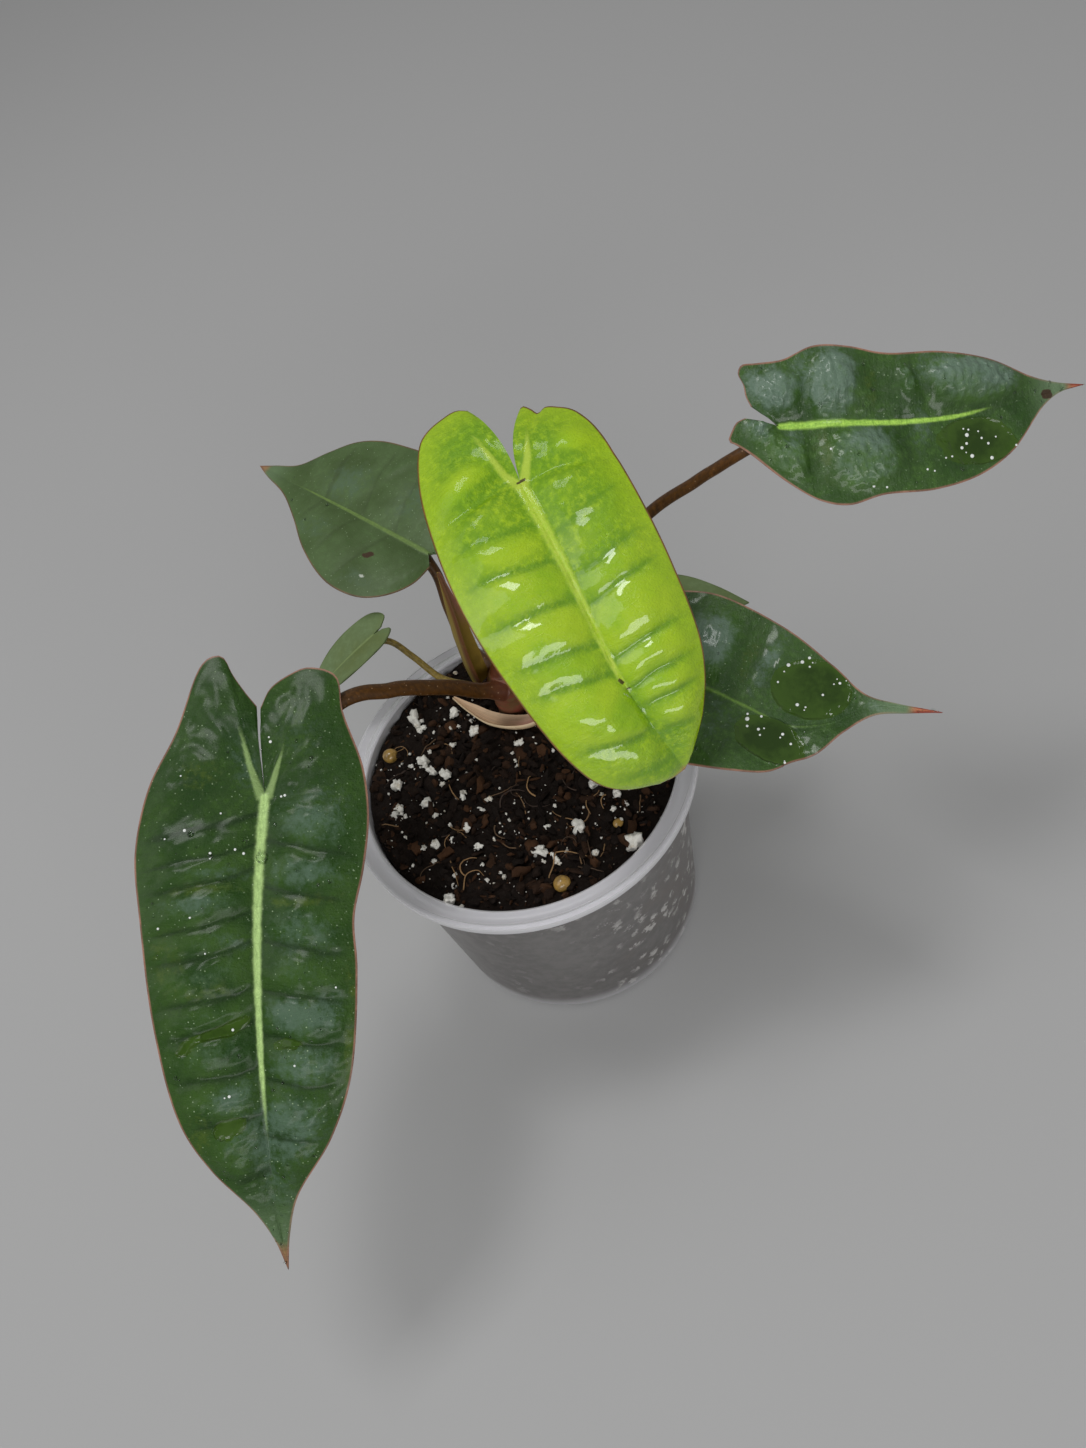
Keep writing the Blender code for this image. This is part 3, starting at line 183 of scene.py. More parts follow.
LEAVES = (
    Leaf(
        name="leaf_a", look="new",
        sinus=(24.3, 14.1, 143.0), tip=(31.9, -38.5, 99.0),
        bow=((-0.3, 24.0), (0.0, 20.0), (0.4, 4.0), (0.75, -12.0), (0.9, -26.0), (1.0, -60.0)),
        midrib=[(20.0, -1.2), (46.0, -3.0)],
        left=[(-15.8, 7.6), (-16.9, 9.2), (-15.0, 10.5), (-13.3, 11.2), (-13.8, 13.2),
              (-12.2, 15.5), (-9.9, 17.7), (-6.0, 19.2), (-1.0, 19.9), (13.0, 19.6), (31.0, 18.0),
              (49.0, 14.8), (60.0, 9.3), (67.5, 3.4)],
        right=[(-23.2, -1.2), (-24.8, -3.4), (-24.7, -7.2), (-23.8, -10.9), (-21.8, -13.8),
               (-12.0, -18.8), (3.0, -22.4), (20.0, -24.2), (38.0, -23.4), (55.0, -20.8),
               (64.0, -17.2), (69.5, -11.0), (72.0, -5.0)],
        inner=(1.1, 1.5), swell=2.2, slant=1.45, spread=(0.75, 1.2),
        veins=((1.0, 14.0, 24.0, 30.5, 42.0, 49.0, 53.5, 60.0),
               (0.0, 10.0, 18.5, 28.0, 37.5, 44.0, 58.0, 66.0)),
        puffs=((0.25, 0.4, 0.8, 1.8, 1.6, 1.0, 0.7), (0.3, 0.8, 1.3, 1.6, 0.9, 2.1, 0.5)),
        dents=((2.0, 11.0, 1.9, 9.5, -14.0, -1.2), (-2.0, 14.0, 4.0, 4.0, 0.0, 0.9),
               (-1.5, -8.0, 1.8, 8.0, 14.0, -1.2), (-6.0, -11.0, 3.6, 7.0, 14.0, 0.8),
               (55.0, -9.0, 1.6, 2.6, -20.0, 0.5), (56.5, -5.0, 1.1, 2.4, -35.0, 0.45)),
        ribs=(((0.0, 0.6), (-3.9, 4.0), (-8.0, 6.2), (-15.0, 9.0)),
              ((0.0, -0.6), (-3.9, -2.1), (-13.7, -3.2), (-21.6, -3.7))),
        # The last spot is a painted highlight, a white glint along the cracked midrib
        spots=((-0.6, 0.3, 0.42, 1.3, 0.0, 0.8), (46.6, -3.2, 0.9, 0.5, 25.0, 0.75),
               (48.6, -2.6, 0.5, 0.7, 0.0, 0.6), (20.0, 9.0, 0.4, 0.3, 0.0, 0.5),
               (33.0, -14.0, 0.3, 0.4, 0.0, 0.45), (49.6, -3.6, 1.6, 0.25, 30.0, -0.6)),
        rib_width=1.65, rib_end=(0.62, 0.75), crinkle=0.13, tip_from=0.975),
    Leaf(
        name="leaf_b", look="dark",
        sinus=(-52.7, -9.1, 112.0), tip=(-89.0, -85.8, 56.0),
        bow=((-0.3, 14.0), (0.0, 14.0), (0.5, 2.0), (1.0, -22.0)),
        midrib=[(22.0, -1.4), (43.0, -1.7), (75.0, -1.0)],
        left=[(-20.0, -1.3), (-24.4, 0.8), (-27.6, 5.6), (-28.7, 9.2), (-26.4, 15.4), (-18.0, 17.0),
              (-5.0, 21.4), (6.0, 22.5), (17.0, 21.2), (27.0, 19.0), (38.0, 19.3), (59.0, 17.2),
              (72.0, 12.3), (85.0, 4.0), (94.0, 1.4)],
        right=[(-20.5, -2.2), (-24.0, -4.9), (-28.8, -8.0), (-30.7, -8.8), (-32.5, -10.2),
               (-32.2, -12.8), (-29.8, -14.9), (-15.0, -19.6), (-3.0, -24.9), (11.0, -27.3),
               (26.0, -26.0), (48.0, -23.3), (68.0, -18.7), (78.0, -13.2), (88.0, -5.4),
               (95.0, -2.0)],
        rise=0.05, swell=1.5, slant=0.3,
        veins=((0.0, 9.0, 19.0, 30.5, 40.5, 50.0, 59.0, 71.0, 82.0),
               (4.0, 10.0, 15.5, 24.5, 31.0, 40.0, 47.0, 56.0, 66.0, 78.0)),
        puffs=((0.9, 0.9, 0.9, 0.8, 1.3, 1.0, 1.0, 0.5),
               (0.4, 0.7, 1.0, 0.7, 1.0, 0.8, 1.0, 1.0, 0.7)),
        dents=((3.0, -13.0, 4.0, 9.0, 10.0, -1.1), (49.4, -10.6, 1.7, 6.6, 24.0, -1.1),
               (52.0, 4.3, 1.2, 3.0, 0.0, -0.5), (68.4, -8.4, 2.0, 3.0, 20.0, -0.7),
               (58.0, 9.0, 2.0, 7.0, 0.0, -0.4)),
        pools=((49.4, -10.8, 2.3, 7.8, 24.0), (52.0, 4.3, 1.4, 3.3, 6.0),
               (68.4, -8.4, 2.6, 3.4, 25.0)),
        brim=0.12, lenses=((13.6, -0.3, 1.3), (7.6, -15.6, 0.7), (12.6, -10.8, 0.55), (9.8, -4.0, 0.5)),
        glint_pearls=((7.2, -16.6, 0.34), (12.2, -10.4, 0.3), (13.0, -10.9, 0.2), (11.4, -5.6, 0.28),
                (12.4, -4.2, 0.3), (27.4, -22.0, 0.26), (61.5, -8.2, 0.32), (61.9, -8.9, 0.18),
                (0.6, 3.6, 0.26), (0.4, 4.5, 0.3), (-11.4, 1.2, 0.34), (-12.6, 0.9, 0.22),
                (48.6, -7.0, 0.3), (8.6, -20.0, 0.2), (-5.0, -18.0, 0.2), (25.0, -14.6, 0.24),
                (3.6, -9.4, 0.22), (41.0, 15.0, 0.22), (33.0, -12.0, 0.2), (56.0, 6.0, 0.24)),
        sheen_and_olive_patches=((5.0, 11.0, 6.0, 7.0, 0.0, 0.7), (17.5, 9.0, 3.0, 8.0, 0.0, 0.6),
                (31.0, 8.5, 5.0, 8.0, 0.0, 0.45), (45.5, 9.5, 3.4, 8.5, 0.0, 1.0),
                (56.5, 8.5, 4.0, 7.5, 0.0, 0.8), (70.0, 2.5, 6.5, 9.0, 0.0, 0.95),
                (61.5, -7.5, 2.6, 4.5, 20.0, 0.7), (-7.0, -4.5, 7.0, 2.6, 15.0, 0.5),
                (-14.0, 8.0, 6.0, 5.0, 0.0, 0.3), (16.5, -9.0, 1.2, 6.0, 0.0, 0.7),
                (22.6, -15.0, 1.3, 6.0, 0.0, 0.7), (31.0, -6.5, 2.4, 3.4, 0.0, 0.55),
                (-5.0, -14.0, 3.0, 5.0, 0.0, -0.6), (19.6, -12.0, 1.4, 8.0, 0.0, -0.7),
                (33.0, -20.0, 6.0, 4.0, 0.0, -0.55), (23.0, 8.0, 1.5, 8.0, 0.0, -0.8),
                (40.0, -12.0, 2.5, 6.0, 0.0, -0.5), (50.0, 17.5, 16.0, 1.6, 0.0, -0.8),
                (70.0, -14.0, 9.0, 3.0, 0.0, -0.5), (82.0, 0.0, 6.0, 4.0, 0.0, 0.5)),
        rib_end=(0.52, 0.8), tip_strength=0.45,
        ribs=(((0.0, 0.8), (-4.1, 2.3), (-8.5, 3.7), (-17.0, 5.6)),
              ((0.0, -0.9), (-6.7, -3.2), (-13.9, -4.9), (-21.0, -7.6))),
        rib_width=1.35, crinkle=0.28, worms=0.35, drops=95, rows=190),
    Leaf(
        name="leaf_c", look="deep",
        sinus=(78.8, 5.3, 137.0), tip=(144.2, -6.8, 124.0),
        bow=((-0.3, 8.0), (0.0, 8.0), (0.5, 0.0), (1.0, -10.0)),
        midrib=[(12.0, -1.4), (26.0, -3.1), (37.0, -3.4), (50.0, -2.0)],
        left=[(-5.2, 5.2), (-6.0, 7.6), (-6.1, 9.8), (-6.9, 12.4), (-6.0, 13.8), (-3.0, 13.7),
              (2.5, 13.5), (9.0, 15.2), (16.0, 14.0), (24.0, 11.4), (35.0, 10.2), (45.0, 7.4),
              (55.0, 2.8), (61.0, 1.0)],
        right=[(-6.8, 3.0), (-8.7, 2.4), (-9.9, 0.8), (-10.8, -1.1), (-9.4, -2.2), (-6.5, -5.0),
               (-1.0, -11.2), (6.0, -17.0), (11.5, -18.8), (19.0, -17.8), (30.0, -18.3),
               (40.0, -16.6), (49.0, -12.0), (57.0, -3.8), (61.5, -1.2)],
        fan=5.0, rise=0.1, swell=0.7,
        dents=((0.8, 7.0, 3.8, 4.0, 0.0, 1.9), (11.8, 6.0, 4.6, 6.5, -12.0, 2.3),
               (6.3, 5.5, 1.4, 5.0, -10.0, -0.5), (27.0, 5.2, 1.8, 3.6, 10.0, 0.9),
               (21.5, 5.0, 1.8, 6.0, 5.0, -0.6), (31.0, 3.0, 1.7, 5.0, 15.0, -0.9),
               (41.0, 3.3, 9.5, 4.6, -8.0, 2.0), (-3.6, -1.0, 3.2, 3.0, -40.0, 1.1),
               (1.0, -7.0, 4.0, 3.6, -40.0, 1.3), (5.5, -8.0, 1.4, 6.0, 0.0, -0.7),
               (16.0, -9.4, 7.0, 5.8, -10.0, 2.3), (27.0, -9.5, 1.8, 5.5, 12.0, -0.7),
               (40.8, -9.2, 10.6, 5.8, 0.0, -2.6)),
        pools=((40.8, -9.2, 10.3, 5.2, 0.0),),
        spots=((58.2, -1.3, 1.1, 0.9, 0.0, 2.0),),
        sheen_and_olive_patches=((-2.0, 8.0, 4.6, 5.0, 0.0, 1.1), (11.0, 9.0, 6.0, 6.5, 0.0, 1.0),
                (38.5, 9.0, 9.0, 5.0, 0.0, 0.8), (46.5, 3.6, 5.0, 2.0, 0.0, 0.8),
                (18.0, -5.0, 5.0, 4.0, 0.0, 0.6), (-5.0, 0.0, 2.6, 2.6, 0.0, 0.6),
                (2.5, -3.5, 2.0, 3.0, 0.0, 0.6), (29.0, -4.5, 2.6, 4.0, 0.0, 0.6),
                (46.5, -15.5, 4.0, 1.6, 0.0, 0.5), (19.5, 6.0, 1.5, 5.0, 5.0, -0.6),
                (8.0, -7.0, 2.0, 6.0, 0.0, -0.6), (1.0, -8.0, 2.0, 3.0, 0.0, -0.4)),
        glint_pearls=((38.3, -6.2, 0.2), (39.7, -6.4, 0.22), (38.9, -8.0, 0.42), (38.7, -9.2, 0.3),
                (37.2, -10.4, 0.34), (41.5, -7.4, 0.2), (42.2, -8.6, 0.26), (43.2, -10.0, 0.28),
                (45.4, -8.6, 0.2), (33.4, -11.6, 0.2), (35.0, -11.8, 0.22), (29.0, -14.0, 0.24),
                (30.4, -14.6, 0.2), (19.6, -16.2, 0.24), (16.8, -15.8, 0.3), (9.4, -7.0, 0.24)),
        rib_width=0.98, rib_end=(0.55, 0.75), crinkle=0.2, worms=0.7, drops=50, beads=4,
        lobe_rows=30, columns=38),
    Leaf(
        name="leaf_d", look="deep",
        sinus=(30.4, -4.9, 98.0), tip=(87.5, -47.6, 92.0), facing=(0.0, -0.25, 1.0),
        bow=((-0.3, 12.0), (0.0, 12.0), (0.5, 0.0), (1.0, -12.0)),
        midrib=[(20.0, -3.4), (32.0, -6.8), (41.0, -9.2), (49.0, -7.2), (57.0, -2.0)],
        left=[(-8.0, 4.0), (-13.0, 9.0), (-10.0, 15.0), (0.0, 18.5), (10.0, 19.2), (19.0, 19.0),
              (29.0, 15.7), (39.0, 11.1), (48.0, 5.9), (56.0, 0.6), (62.0, -0.2)],
        right=[(-9.0, -3.0), (-14.0, -10.0), (-8.0, -17.0), (6.0, -21.5), (20.0, -22.6),
               (31.0, -22.4), (38.0, -21.2), (42.5, -18.0), (47.5, -15.0), (52.5, -8.8),
               (58.0, -3.9), (65.0, -1.9)],
        rise=0.08, swell=0.4,
        dents=((43.8, -0.2, 10.4, 8.2, -8.0, -3.4), (36.8, -13.4, 10.2, 5.8, -18.0, -3.0),
               (21.0, 7.0, 6.5, 7.5, 20.0, 1.6), (30.0, 3.5, 3.6, 8.0, -12.0, -0.9),
               (18.0, -12.0, 6.0, 6.0, 0.0, 1.2), (8.0, 9.0, 4.0, 7.0, 0.0, -1.0)),
        pools=((43.8, 0.0, 9.3, 7.2, -8.0), (37.0, -13.3, 9.6, 5.1, -18.0)),
        # A painted highlight: a white glint on the rim of the first pool
        spots=((35.6, 4.4, 0.45, 1.9, -32.0, -0.62),),
        sheen_and_olive_patches=((20.0, 8.0, 5.0, 6.0, 0.0, 0.9), (33.6, 4.6, 2.2, 7.0, -22.0, 0.75),
                (25.0, -10.0, 4.0, 7.0, 0.0, 0.3), (60.0, -1.0, 4.0, 3.0, 0.0, 0.6),
                (29.5, 3.0, 2.0, 8.0, -12.0, -0.5)),
        glint_pearls=((42.4, 6.6, 0.34), (41.0, 5.4, 0.4), (42.6, 4.6, 0.24), (38.2, 4.0, 0.42),
                (37.4, 2.6, 0.2), (36.8, 0.0, 0.26), (46.6, -1.0, 0.28), (41.6, -4.4, 0.38),
                (43.6, -4.6, 0.22), (31.8, -9.4, 0.48), (32.0, -11.0, 0.3), (34.2, -11.2, 0.34),
                (35.6, -11.0, 0.2), (34.8, -12.6, 0.24), (31.4, -8.0, 0.28), (34.4, -8.2, 0.3),
                (39.6, -11.6, 0.34), (39.2, -12.6, 0.2), (41.6, -13.6, 0.28)),
        rib_width=1.0, rib_strength=0.5, crinkle=0.16, worms=0.3, tip_from=0.9, drops=45,
        beads=8, rows=140, columns=34),
    Leaf(
        name="leaf_e", look="matt",
        sinus=(0.9, 52.1, 100.0), tip=(-33.0, 112.3, 101.0), facing=(0.0, -0.2, 1.0),
        bow=((-0.3, 8.0), (0.0, 8.0), (0.5, 0.0), (1.0, -10.0)),
        midrib=[(20.0, 0.6), (50.0, 0.7)],
        left=[(-3.0, 3.0), (-2.6, 9.0), (0.5, 15.0), (6.0, 19.7), (13.0, 21.4), (20.0, 20.8),
              (31.0, 16.6), (42.0, 10.0), (52.0, 5.0), (63.0, 2.1)],
        right=[(-6.0, -3.0), (-10.0, -9.0), (-6.0, -17.0), (6.0, -22.6), (17.0, -24.2),
               (27.0, -23.3), (36.0, -21.5), (43.0, -18.0), (49.0, -11.8), (55.0, -4.9),
               (63.0, -2.0)],
        rise=0.05, swell=0.9,
        veins=((0.0, 12.0, 24.0, 37.0), (0.0, 12.0, 24.0, 37.0)),
        puffs=((0.35, 0.3, 0.25), (0.35, 0.3, 0.25)),
        dents=((33.0, -9.0, 8.0, 7.0, 0.0, -0.7), (25.0, -14.5, 1.6, 8.0, -25.0, 0.5)),
        spots=((12.7, 9.2, 1.7, 0.9, 30.0, 1.1), (9.4, 14.8, 1.3, 0.42, 27.0, -0.9)),
        sheen_and_olive_patches=((35.0, -6.5, 7.0, 5.5, 0.0, 0.9), (14.0, -10.0, 4.0, 7.0, 0.0, 0.7),
                (33.8, 9.6, 6.0, 3.0, 0.0, 0.7), (10.7, 15.9, 6.0, 3.0, 0.0, 0.5)),
        rib_width=0.8, tip_strength=0.5, crinkle=0.06, drops=8, rows=120),
    Leaf(
        name="leaf_f", look="pale",
        sinus=(-20.6, 41.3, 92.0), tip=(-45.0, 38.5, 80.5), facing=(-0.2, 0.1, 0.95),
        bow=((-0.3, 6.0), (0.0, 6.0), (1.0, -8.0)),
        midrib=[(10.0, 0.0)],
        left=[(-3.0, 0.6), (-5.2, 3.0), (-2.4, 6.4), (5.0, 7.6), (13.0, 6.8), (21.0, 3.6)],
        right=[(-3.0, -0.6), (-5.2, -3.0), (-2.4, -6.4), (5.0, -7.6), (13.0, -6.8), (21.0, -3.6)],
        fan=3.0, rise=0.15, swell=0.3, rib_width=0.5, crinkle=0.04, rows=60, lobe_rows=20,
        columns=16),
    Leaf(
        name="leaf_g", look="pale",
        sinus=(24.0, 24.5, 82.0), tip=(70.0, 10.5, 80.0), facing=(0.05, 0.1, 1.0),
        bow=((-0.3, 6.0), (0.0, 6.0), (1.0, -10.0)),
        midrib=[(20.0, 0.0)],
        left=[(-4.5, 2.0), (-7.0, 7.0), (-2.0, 12.0), (9.0, 14.2), (22.0, 13.8), (33.0, 11.0),
              (41.0, 6.0)],
        right=[(-4.5, -2.0), (-7.0, -7.0), (-2.0, -12.0), (9.0, -14.2), (22.0, -13.2), (33.0, -9.0),
               (41.0, -4.4)],
        fan=4.0, rise=0.12, swell=0.5, rib_width=0.6, crinkle=0.05, rows=80, lobe_rows=24,
        columns=20),
)

# Stalks: leaf, look, bearing round the stem or None on its top, height of the foot, route,
# radius at the foot and at the neck
STALKS = (
    ("leaf_a", "brown", None, STEM_TOP, [(9.0, 20.5, 100.0), (16.0, 20.8, 122.0)], 1.9, 1.5),
    ("leaf_b", "brown", 238.0, 81.6, [(-0.8, 14.6, 86.0), (-7.1, 12.7, 94.0), (-19.7, 8.6, 107.0),
                                      (-30.2, 6.2, 113.0), (-43.1, 0.7, 110.2)], 2.0, 1.6),
    ("leaf_c", "brown", 8.0, 81.6, [(24.0, 20.5, 95.0), (51.0, 19.0, 115.0), (62.6, 14.4, 123.0),
                                    (71.4, 8.8, 131.0)], 1.7, 1.2),
    ("leaf_d", "brown", 315.0, 81.2, [(18.0, 5.5, 89.6), (24.5, 0.0, 93.0)], 1.7, 1.3),
    ("leaf_e", "brown", 88.0, 80.4, [(0.6, 33.0, 82.6), (0.0, 42.9, 87.0), (0.8, 49.6, 93.6)],
     1.7, 1.3),
    ("leaf_f", "olive", 138.0, 76.2, [(-3.6, 26.4, 76.2), (-9.3, 30.9, 78.0), (-13.7, 36.7, 84.0),
                                      (-18.0, 40.4, 88.8)], 1.0, 0.8),
    ("leaf_g", "olive", 30.0, 77.2, [(15.0, 23.6, 77.8), (20.5, 24.6, 79.4)], 1.1, 0.9),
)

# Sheaths: centre line, half width at each point, hollow side and curl
SHEATHS = {
    "sheath_standing": ([(-0.2, 21.1, 80.0), (-0.8, 22.0, 86.0), (-0.6, 24.4, 95.0),
                         (0.2, 27.8, 105.0), (0.7, 31.2, 113.0)],
                        (3.3, 3.9, 3.5, 2.2, 0.35), (0.91, -0.41, 0.0), 0.42),
    "sheath_fallen": ([(11.5, 9.0, 73.2), (6.0, 9.2, 72.9), (-0.7, 13.6, 72.6), (-5.4, 21.0, 72.3),
                       (-8.6, 27.4, 72.1)],
                      (2.2, 2.6, 2.5, 1.7, 0.35), (0.15, 0.35, 0.9), 0.38),
}


def unit(vector):
    """The vector's direction."""
    vector = np.asarray(vector, float)
    return vector / np.linalg.norm(vector)


def smooth_curve(points, steps=24):
    """A dense centripetal curve through a few points in the plane or in space."""
    knots = np.asarray(points, float)
    knots = np.vstack([2 * knots[0] - knots[1], knots, 2 * knots[-1] - knots[-2]])
    found = []
    for i in range(1, len(knots) - 2):
        a, b, c, d = knots[i - 1:i + 3]
        times = [0.0]
        for start, end in ((a, b), (b, c), (c, d)):
            times.append(times[-1] + math.sqrt(max(np.linalg.norm(end - start), 1e-6)))
        t0, t1, t2, t3 = times
        t = np.linspace(t1, t2, steps, endpoint=False)[:, None]
        ab = ((t1 - t) * a + (t - t0) * b) / (t1 - t0)
        bc = ((t2 - t) * b + (t - t1) * c) / (t2 - t1)
        cd = ((t3 - t) * c + (t - t2) * d) / (t3 - t2)
        abc = ((t2 - t) * ab + (t - t0) * bc) / (t2 - t0)
        bcd = ((t3 - t) * bc + (t - t1) * cd) / (t3 - t1)
        found.append(((t2 - t) * abc + (t - t1) * bcd) / (t2 - t1))
    return np.vstack([*found, knots[-2:-1]])


def along(curve, places):
    """Points of a dense curve at shares of its length."""
    steps = np.linalg.norm(np.diff(curve, axis=0), axis=1)
    run = np.concatenate([[0.0], np.cumsum(steps)]) / steps.sum()
    return np.stack([np.interp(places, run, curve[:, k]) for k in range(curve.shape[1])], axis=-1)


def smooth_step(value, low, high):
    """0 below low, 1 above high and a soft change between."""
    t = np.clip((value - low) / (high - low), 0.0, 1.0)
    return t * t * (3.0 - 2.0 * t)


def fractal(points, scale, octaves=3, seed=0.0):
    """Soft fractal noise from about -1 to 1 at each point, for features about scale across."""
    found = np.empty(len(points))
    for i, p in enumerate(points):
        place = Vector((p[0] / scale + seed, p[1] / scale - seed, (p[2] if len(p) > 2 else 0.0) / scale))
        found[i] = noise.fractal(place, 1.0, 2.0, octaves)
    return found


class BladeForm:
    """Turns places on a flattened blade into points in space."""

    STEP = 0.5
    REACH = 45.0

    def __init__(self, leaf):
        self.leaf = leaf
        self.sinus = np.array(leaf.sinus)
        chord = np.array(leaf.tip) - self.sinus
        span = np.linalg.norm(chord)
        ahead = chord / span
        facing = unit(np.array(leaf.facing) - np.dot(leaf.facing, ahead) * ahead)
        self.length = span
        for _ in range(12):
            ways, angles = self.pitch(0.0, self.length)
            along_chord, above = self.sum_pitch(ways, angles)
            self.length *= span / math.hypot(along_chord[-1], above[-1])
        turn = math.atan2(above[-1], along_chord[-1])
        self.ahead = ahead * math.cos(turn) - facing * math.sin(turn)
        self.facing = facing * math.cos(turn) + ahead * math.sin(turn)
        self.leftward = np.cross(self.facing, self.ahead)
        self.ways, self.angles = self.pitch(-self.REACH, self.length + self.REACH)
        run, rise = self.sum_pitch(self.ways, self.angles)
        self.run = run - np.interp(0.0, self.ways, run)
        self.rise = rise - np.interp(0.0, self.ways, rise)
        self.midrib = smooth_curve([(0.0, 0.0), *leaf.midrib, (self.length, 0.0)])

    def pitch(self, start, end):
        """The midrib's slope along the blade."""
        ways = np.arange(start, end + self.STEP, self.STEP)
        shares = [place for place, _ in self.leaf.bow]
        slopes = [math.radians(slope) for _, slope in self.leaf.bow]
        return ways, np.interp(ways / self.length, shares, slopes)

    def sum_pitch(self, ways, angles):
        """The midrib's run and rise, summed from its slope."""
        middle = (angles[1:] + angles[:-1]) / 2
        steps = np.diff(ways)
        run = np.concatenate([[0.0], np.cumsum(np.cos(middle) * steps)])
        rise = np.concatenate([[0.0], np.cumsum(np.sin(middle) * steps)])
        return run, rise

    def middle(self, way):
        """How far the midrib wanders to the left at a way along the blade."""
        return np.interp(way, self.midrib[:, 0], self.midrib[:, 1])

    def point(self, way, side, height):
        """A point at a way along, a way to the left and a height over the blade."""
        angle = np.interp(way, self.ways, self.angles)
        run = np.interp(way, self.ways, self.run) - height * np.sin(angle)
        rise = np.interp(way, self.ways, self.rise) + height * np.cos(angle)
        return (self.sinus + run[..., None] * self.ahead + side[..., None] * self.leftward
                + rise[..., None] * self.facing)

    def outline(self, points):
        """The lobe part and the side part of one half's margin, as dense curves."""
        curve = smooth_curve([*points, (self.length, 0.0)])
        behind = np.nonzero(curve[:, 0] < self.leaf.fan)[0][-1]
        return curve[:behind + 2], curve[behind + 1:]

    def stations(self):
        """Margin points of both halves, and where their veins leave the midrib."""
        leaf = self.leaf
        halves = [self.outline(leaf.left), self.outline(leaf.right)]
        places = np.linspace(0.0, 1.0, leaf.rows + 1)
        sides = [along(side, places) for _, side in halves]
        starts = sum((side[:, 0] - leaf.fan) / (self.length - leaf.fan) for side in sides) / 2
        starts = np.maximum.accumulate(np.clip(starts, 0.0, 1.0))
        starts = starts * 0.98 + places * 0.02
        starts[0] = 0.0
        return [lobe for lobe, _ in halves], sides, starts * self.length

    def quilts(self, way, share, start, width, half):
        """Height of the puffed quilts between the veins, and nearness to a vein."""
        leaf = self.leaf
        veins = leaf.veins[half]
        if not veins:
            return np.zeros_like(way), np.zeros_like(way)
        place = start + leaf.slant * (way - start)
        k = np.clip(np.searchsorted(veins, place) - 1, 0, len(veins) - 2)
        low = np.array(veins)[k]
        high = np.array(veins)[k + 1]
        phase = np.clip((place - low) / (high - low), 0.0, 1.0)
        rise, fall = leaf.spread
        peak = rise / (rise + fall)
        reach = (share / peak) ** rise * ((1.0 - share) / (1.0 - peak)) ** fall
        narrow, wide = PUFF_WIDTHS
        fade = np.clip((width - narrow) / (wide - narrow), 0.0, 1.0)
        height = np.array(leaf.puffs[half])[k] * np.sin(np.pi * phase) ** 0.85 * reach * fade
        from_vein = np.minimum(phase, 1.0 - phase) * (high - low)
        inside = (place > veins[0] - 1.0) & (place < veins[-1] + 1.0)
        near_vein = np.exp(-(from_vein / VEIN_WIDTH) ** 2) * fade * smooth_step(start, 0.2, 1.5)
        return height, np.where(inside, near_vein, 0.0)

    def dents(self, way, side):
        """Height of the single blisters, folds and cups."""
        height = np.zeros_like(way)
        for at_way, at_side, long, wide, turn, depth in self.leaf.dents:
            dx, dy = turned(way - at_way, side - at_side, turn)
            reach = (dx / long) ** 2 + (dy / wide) ** 2
            height = height + depth * np.exp(-reach ** (1.4 if depth > 0.0 else 1.0))
        return height

    def marks(self, table, way, side, power):
        """The sum of soft oval marks from a table, each with its own strength."""
        mark = np.zeros_like(way)
        for at_way, at_side, long, wide, turn, strength in table:
            dx, dy = turned(way - at_way, side - at_side, turn)
            mark = mark + strength * np.exp(-np.abs(dx / long) ** power - np.abs(dy / wide) ** power)
        return mark

    def rib_width(self, way):
        """Half the midrib's width, which tapers towards the tip."""
        return self.leaf.rib_width * np.clip(1.0 - 0.8 * way / (0.86 * self.length), 0.16, 1.0)

    def rib_height(self, way, side):
        """The midrib's raised crown on the upper face, and its own mask."""
        crown_width = self.rib_width(way)
        half_width = crown_width * (0.65 + 0.35 * smooth_step(way, -1.0, 3.5))
        half_width = half_width * (1.0 + 0.06 * np.sin(1.1 * way) + 0.05 * np.sin(2.9 * way + 1.0))
        out = np.abs(side - self.middle(way)) / half_width
        ahead = smooth_step(way, -1.3, 0.2)
        first, last = self.leaf.rib_end
        gone = 1.0 - smooth_step(way, first * self.length, last * self.length)
        crown = np.clip(1.0 - out ** 2, 0.0, 1.0) * ahead
        mask = (1.0 - smooth_step(out, 0.0, 1.9)) * ahead * gone * self.leaf.rib_strength
        return 0.3 * crown_width * crown, mask


def turned(dx, dy, degrees):
    """Components along and across a direction turned by some degrees."""
    c = math.cos(math.radians(degrees))
    s = math.sin(math.radians(degrees))
    return dx * c + dy * s, dy * c - dx * s


def distance_to_line(way, side, line):
    """How far each place is from a line of points, and how far along it the nearest point is."""
    nearest = np.full(way.shape, 1e9)
    share = np.zeros(way.shape)
    line = np.asarray(line, float)
    for k, (a, b) in enumerate(zip(line, line[1:])):
        d = b - a
        t = np.clip(((way - a[0]) * d[0] + (side - a[1]) * d[1]) / (d @ d), 0.0, 1.0)
        gap = np.hypot(way - a[0] - t * d[0], side - a[1] - t * d[1])
        closer = gap < nearest
        nearest = np.where(closer, gap, nearest)
        share = np.where(closer, (k + t) / (len(line) - 1), share)
    return nearest, share


def column_places(count):
    """Shares from the midrib to the margin, closer together at both ends."""
    s = np.linspace(0.0, 1.0, count + 1)
    return s - 0.65 * np.sin(2.0 * np.pi * s) / (2.0 * np.pi)


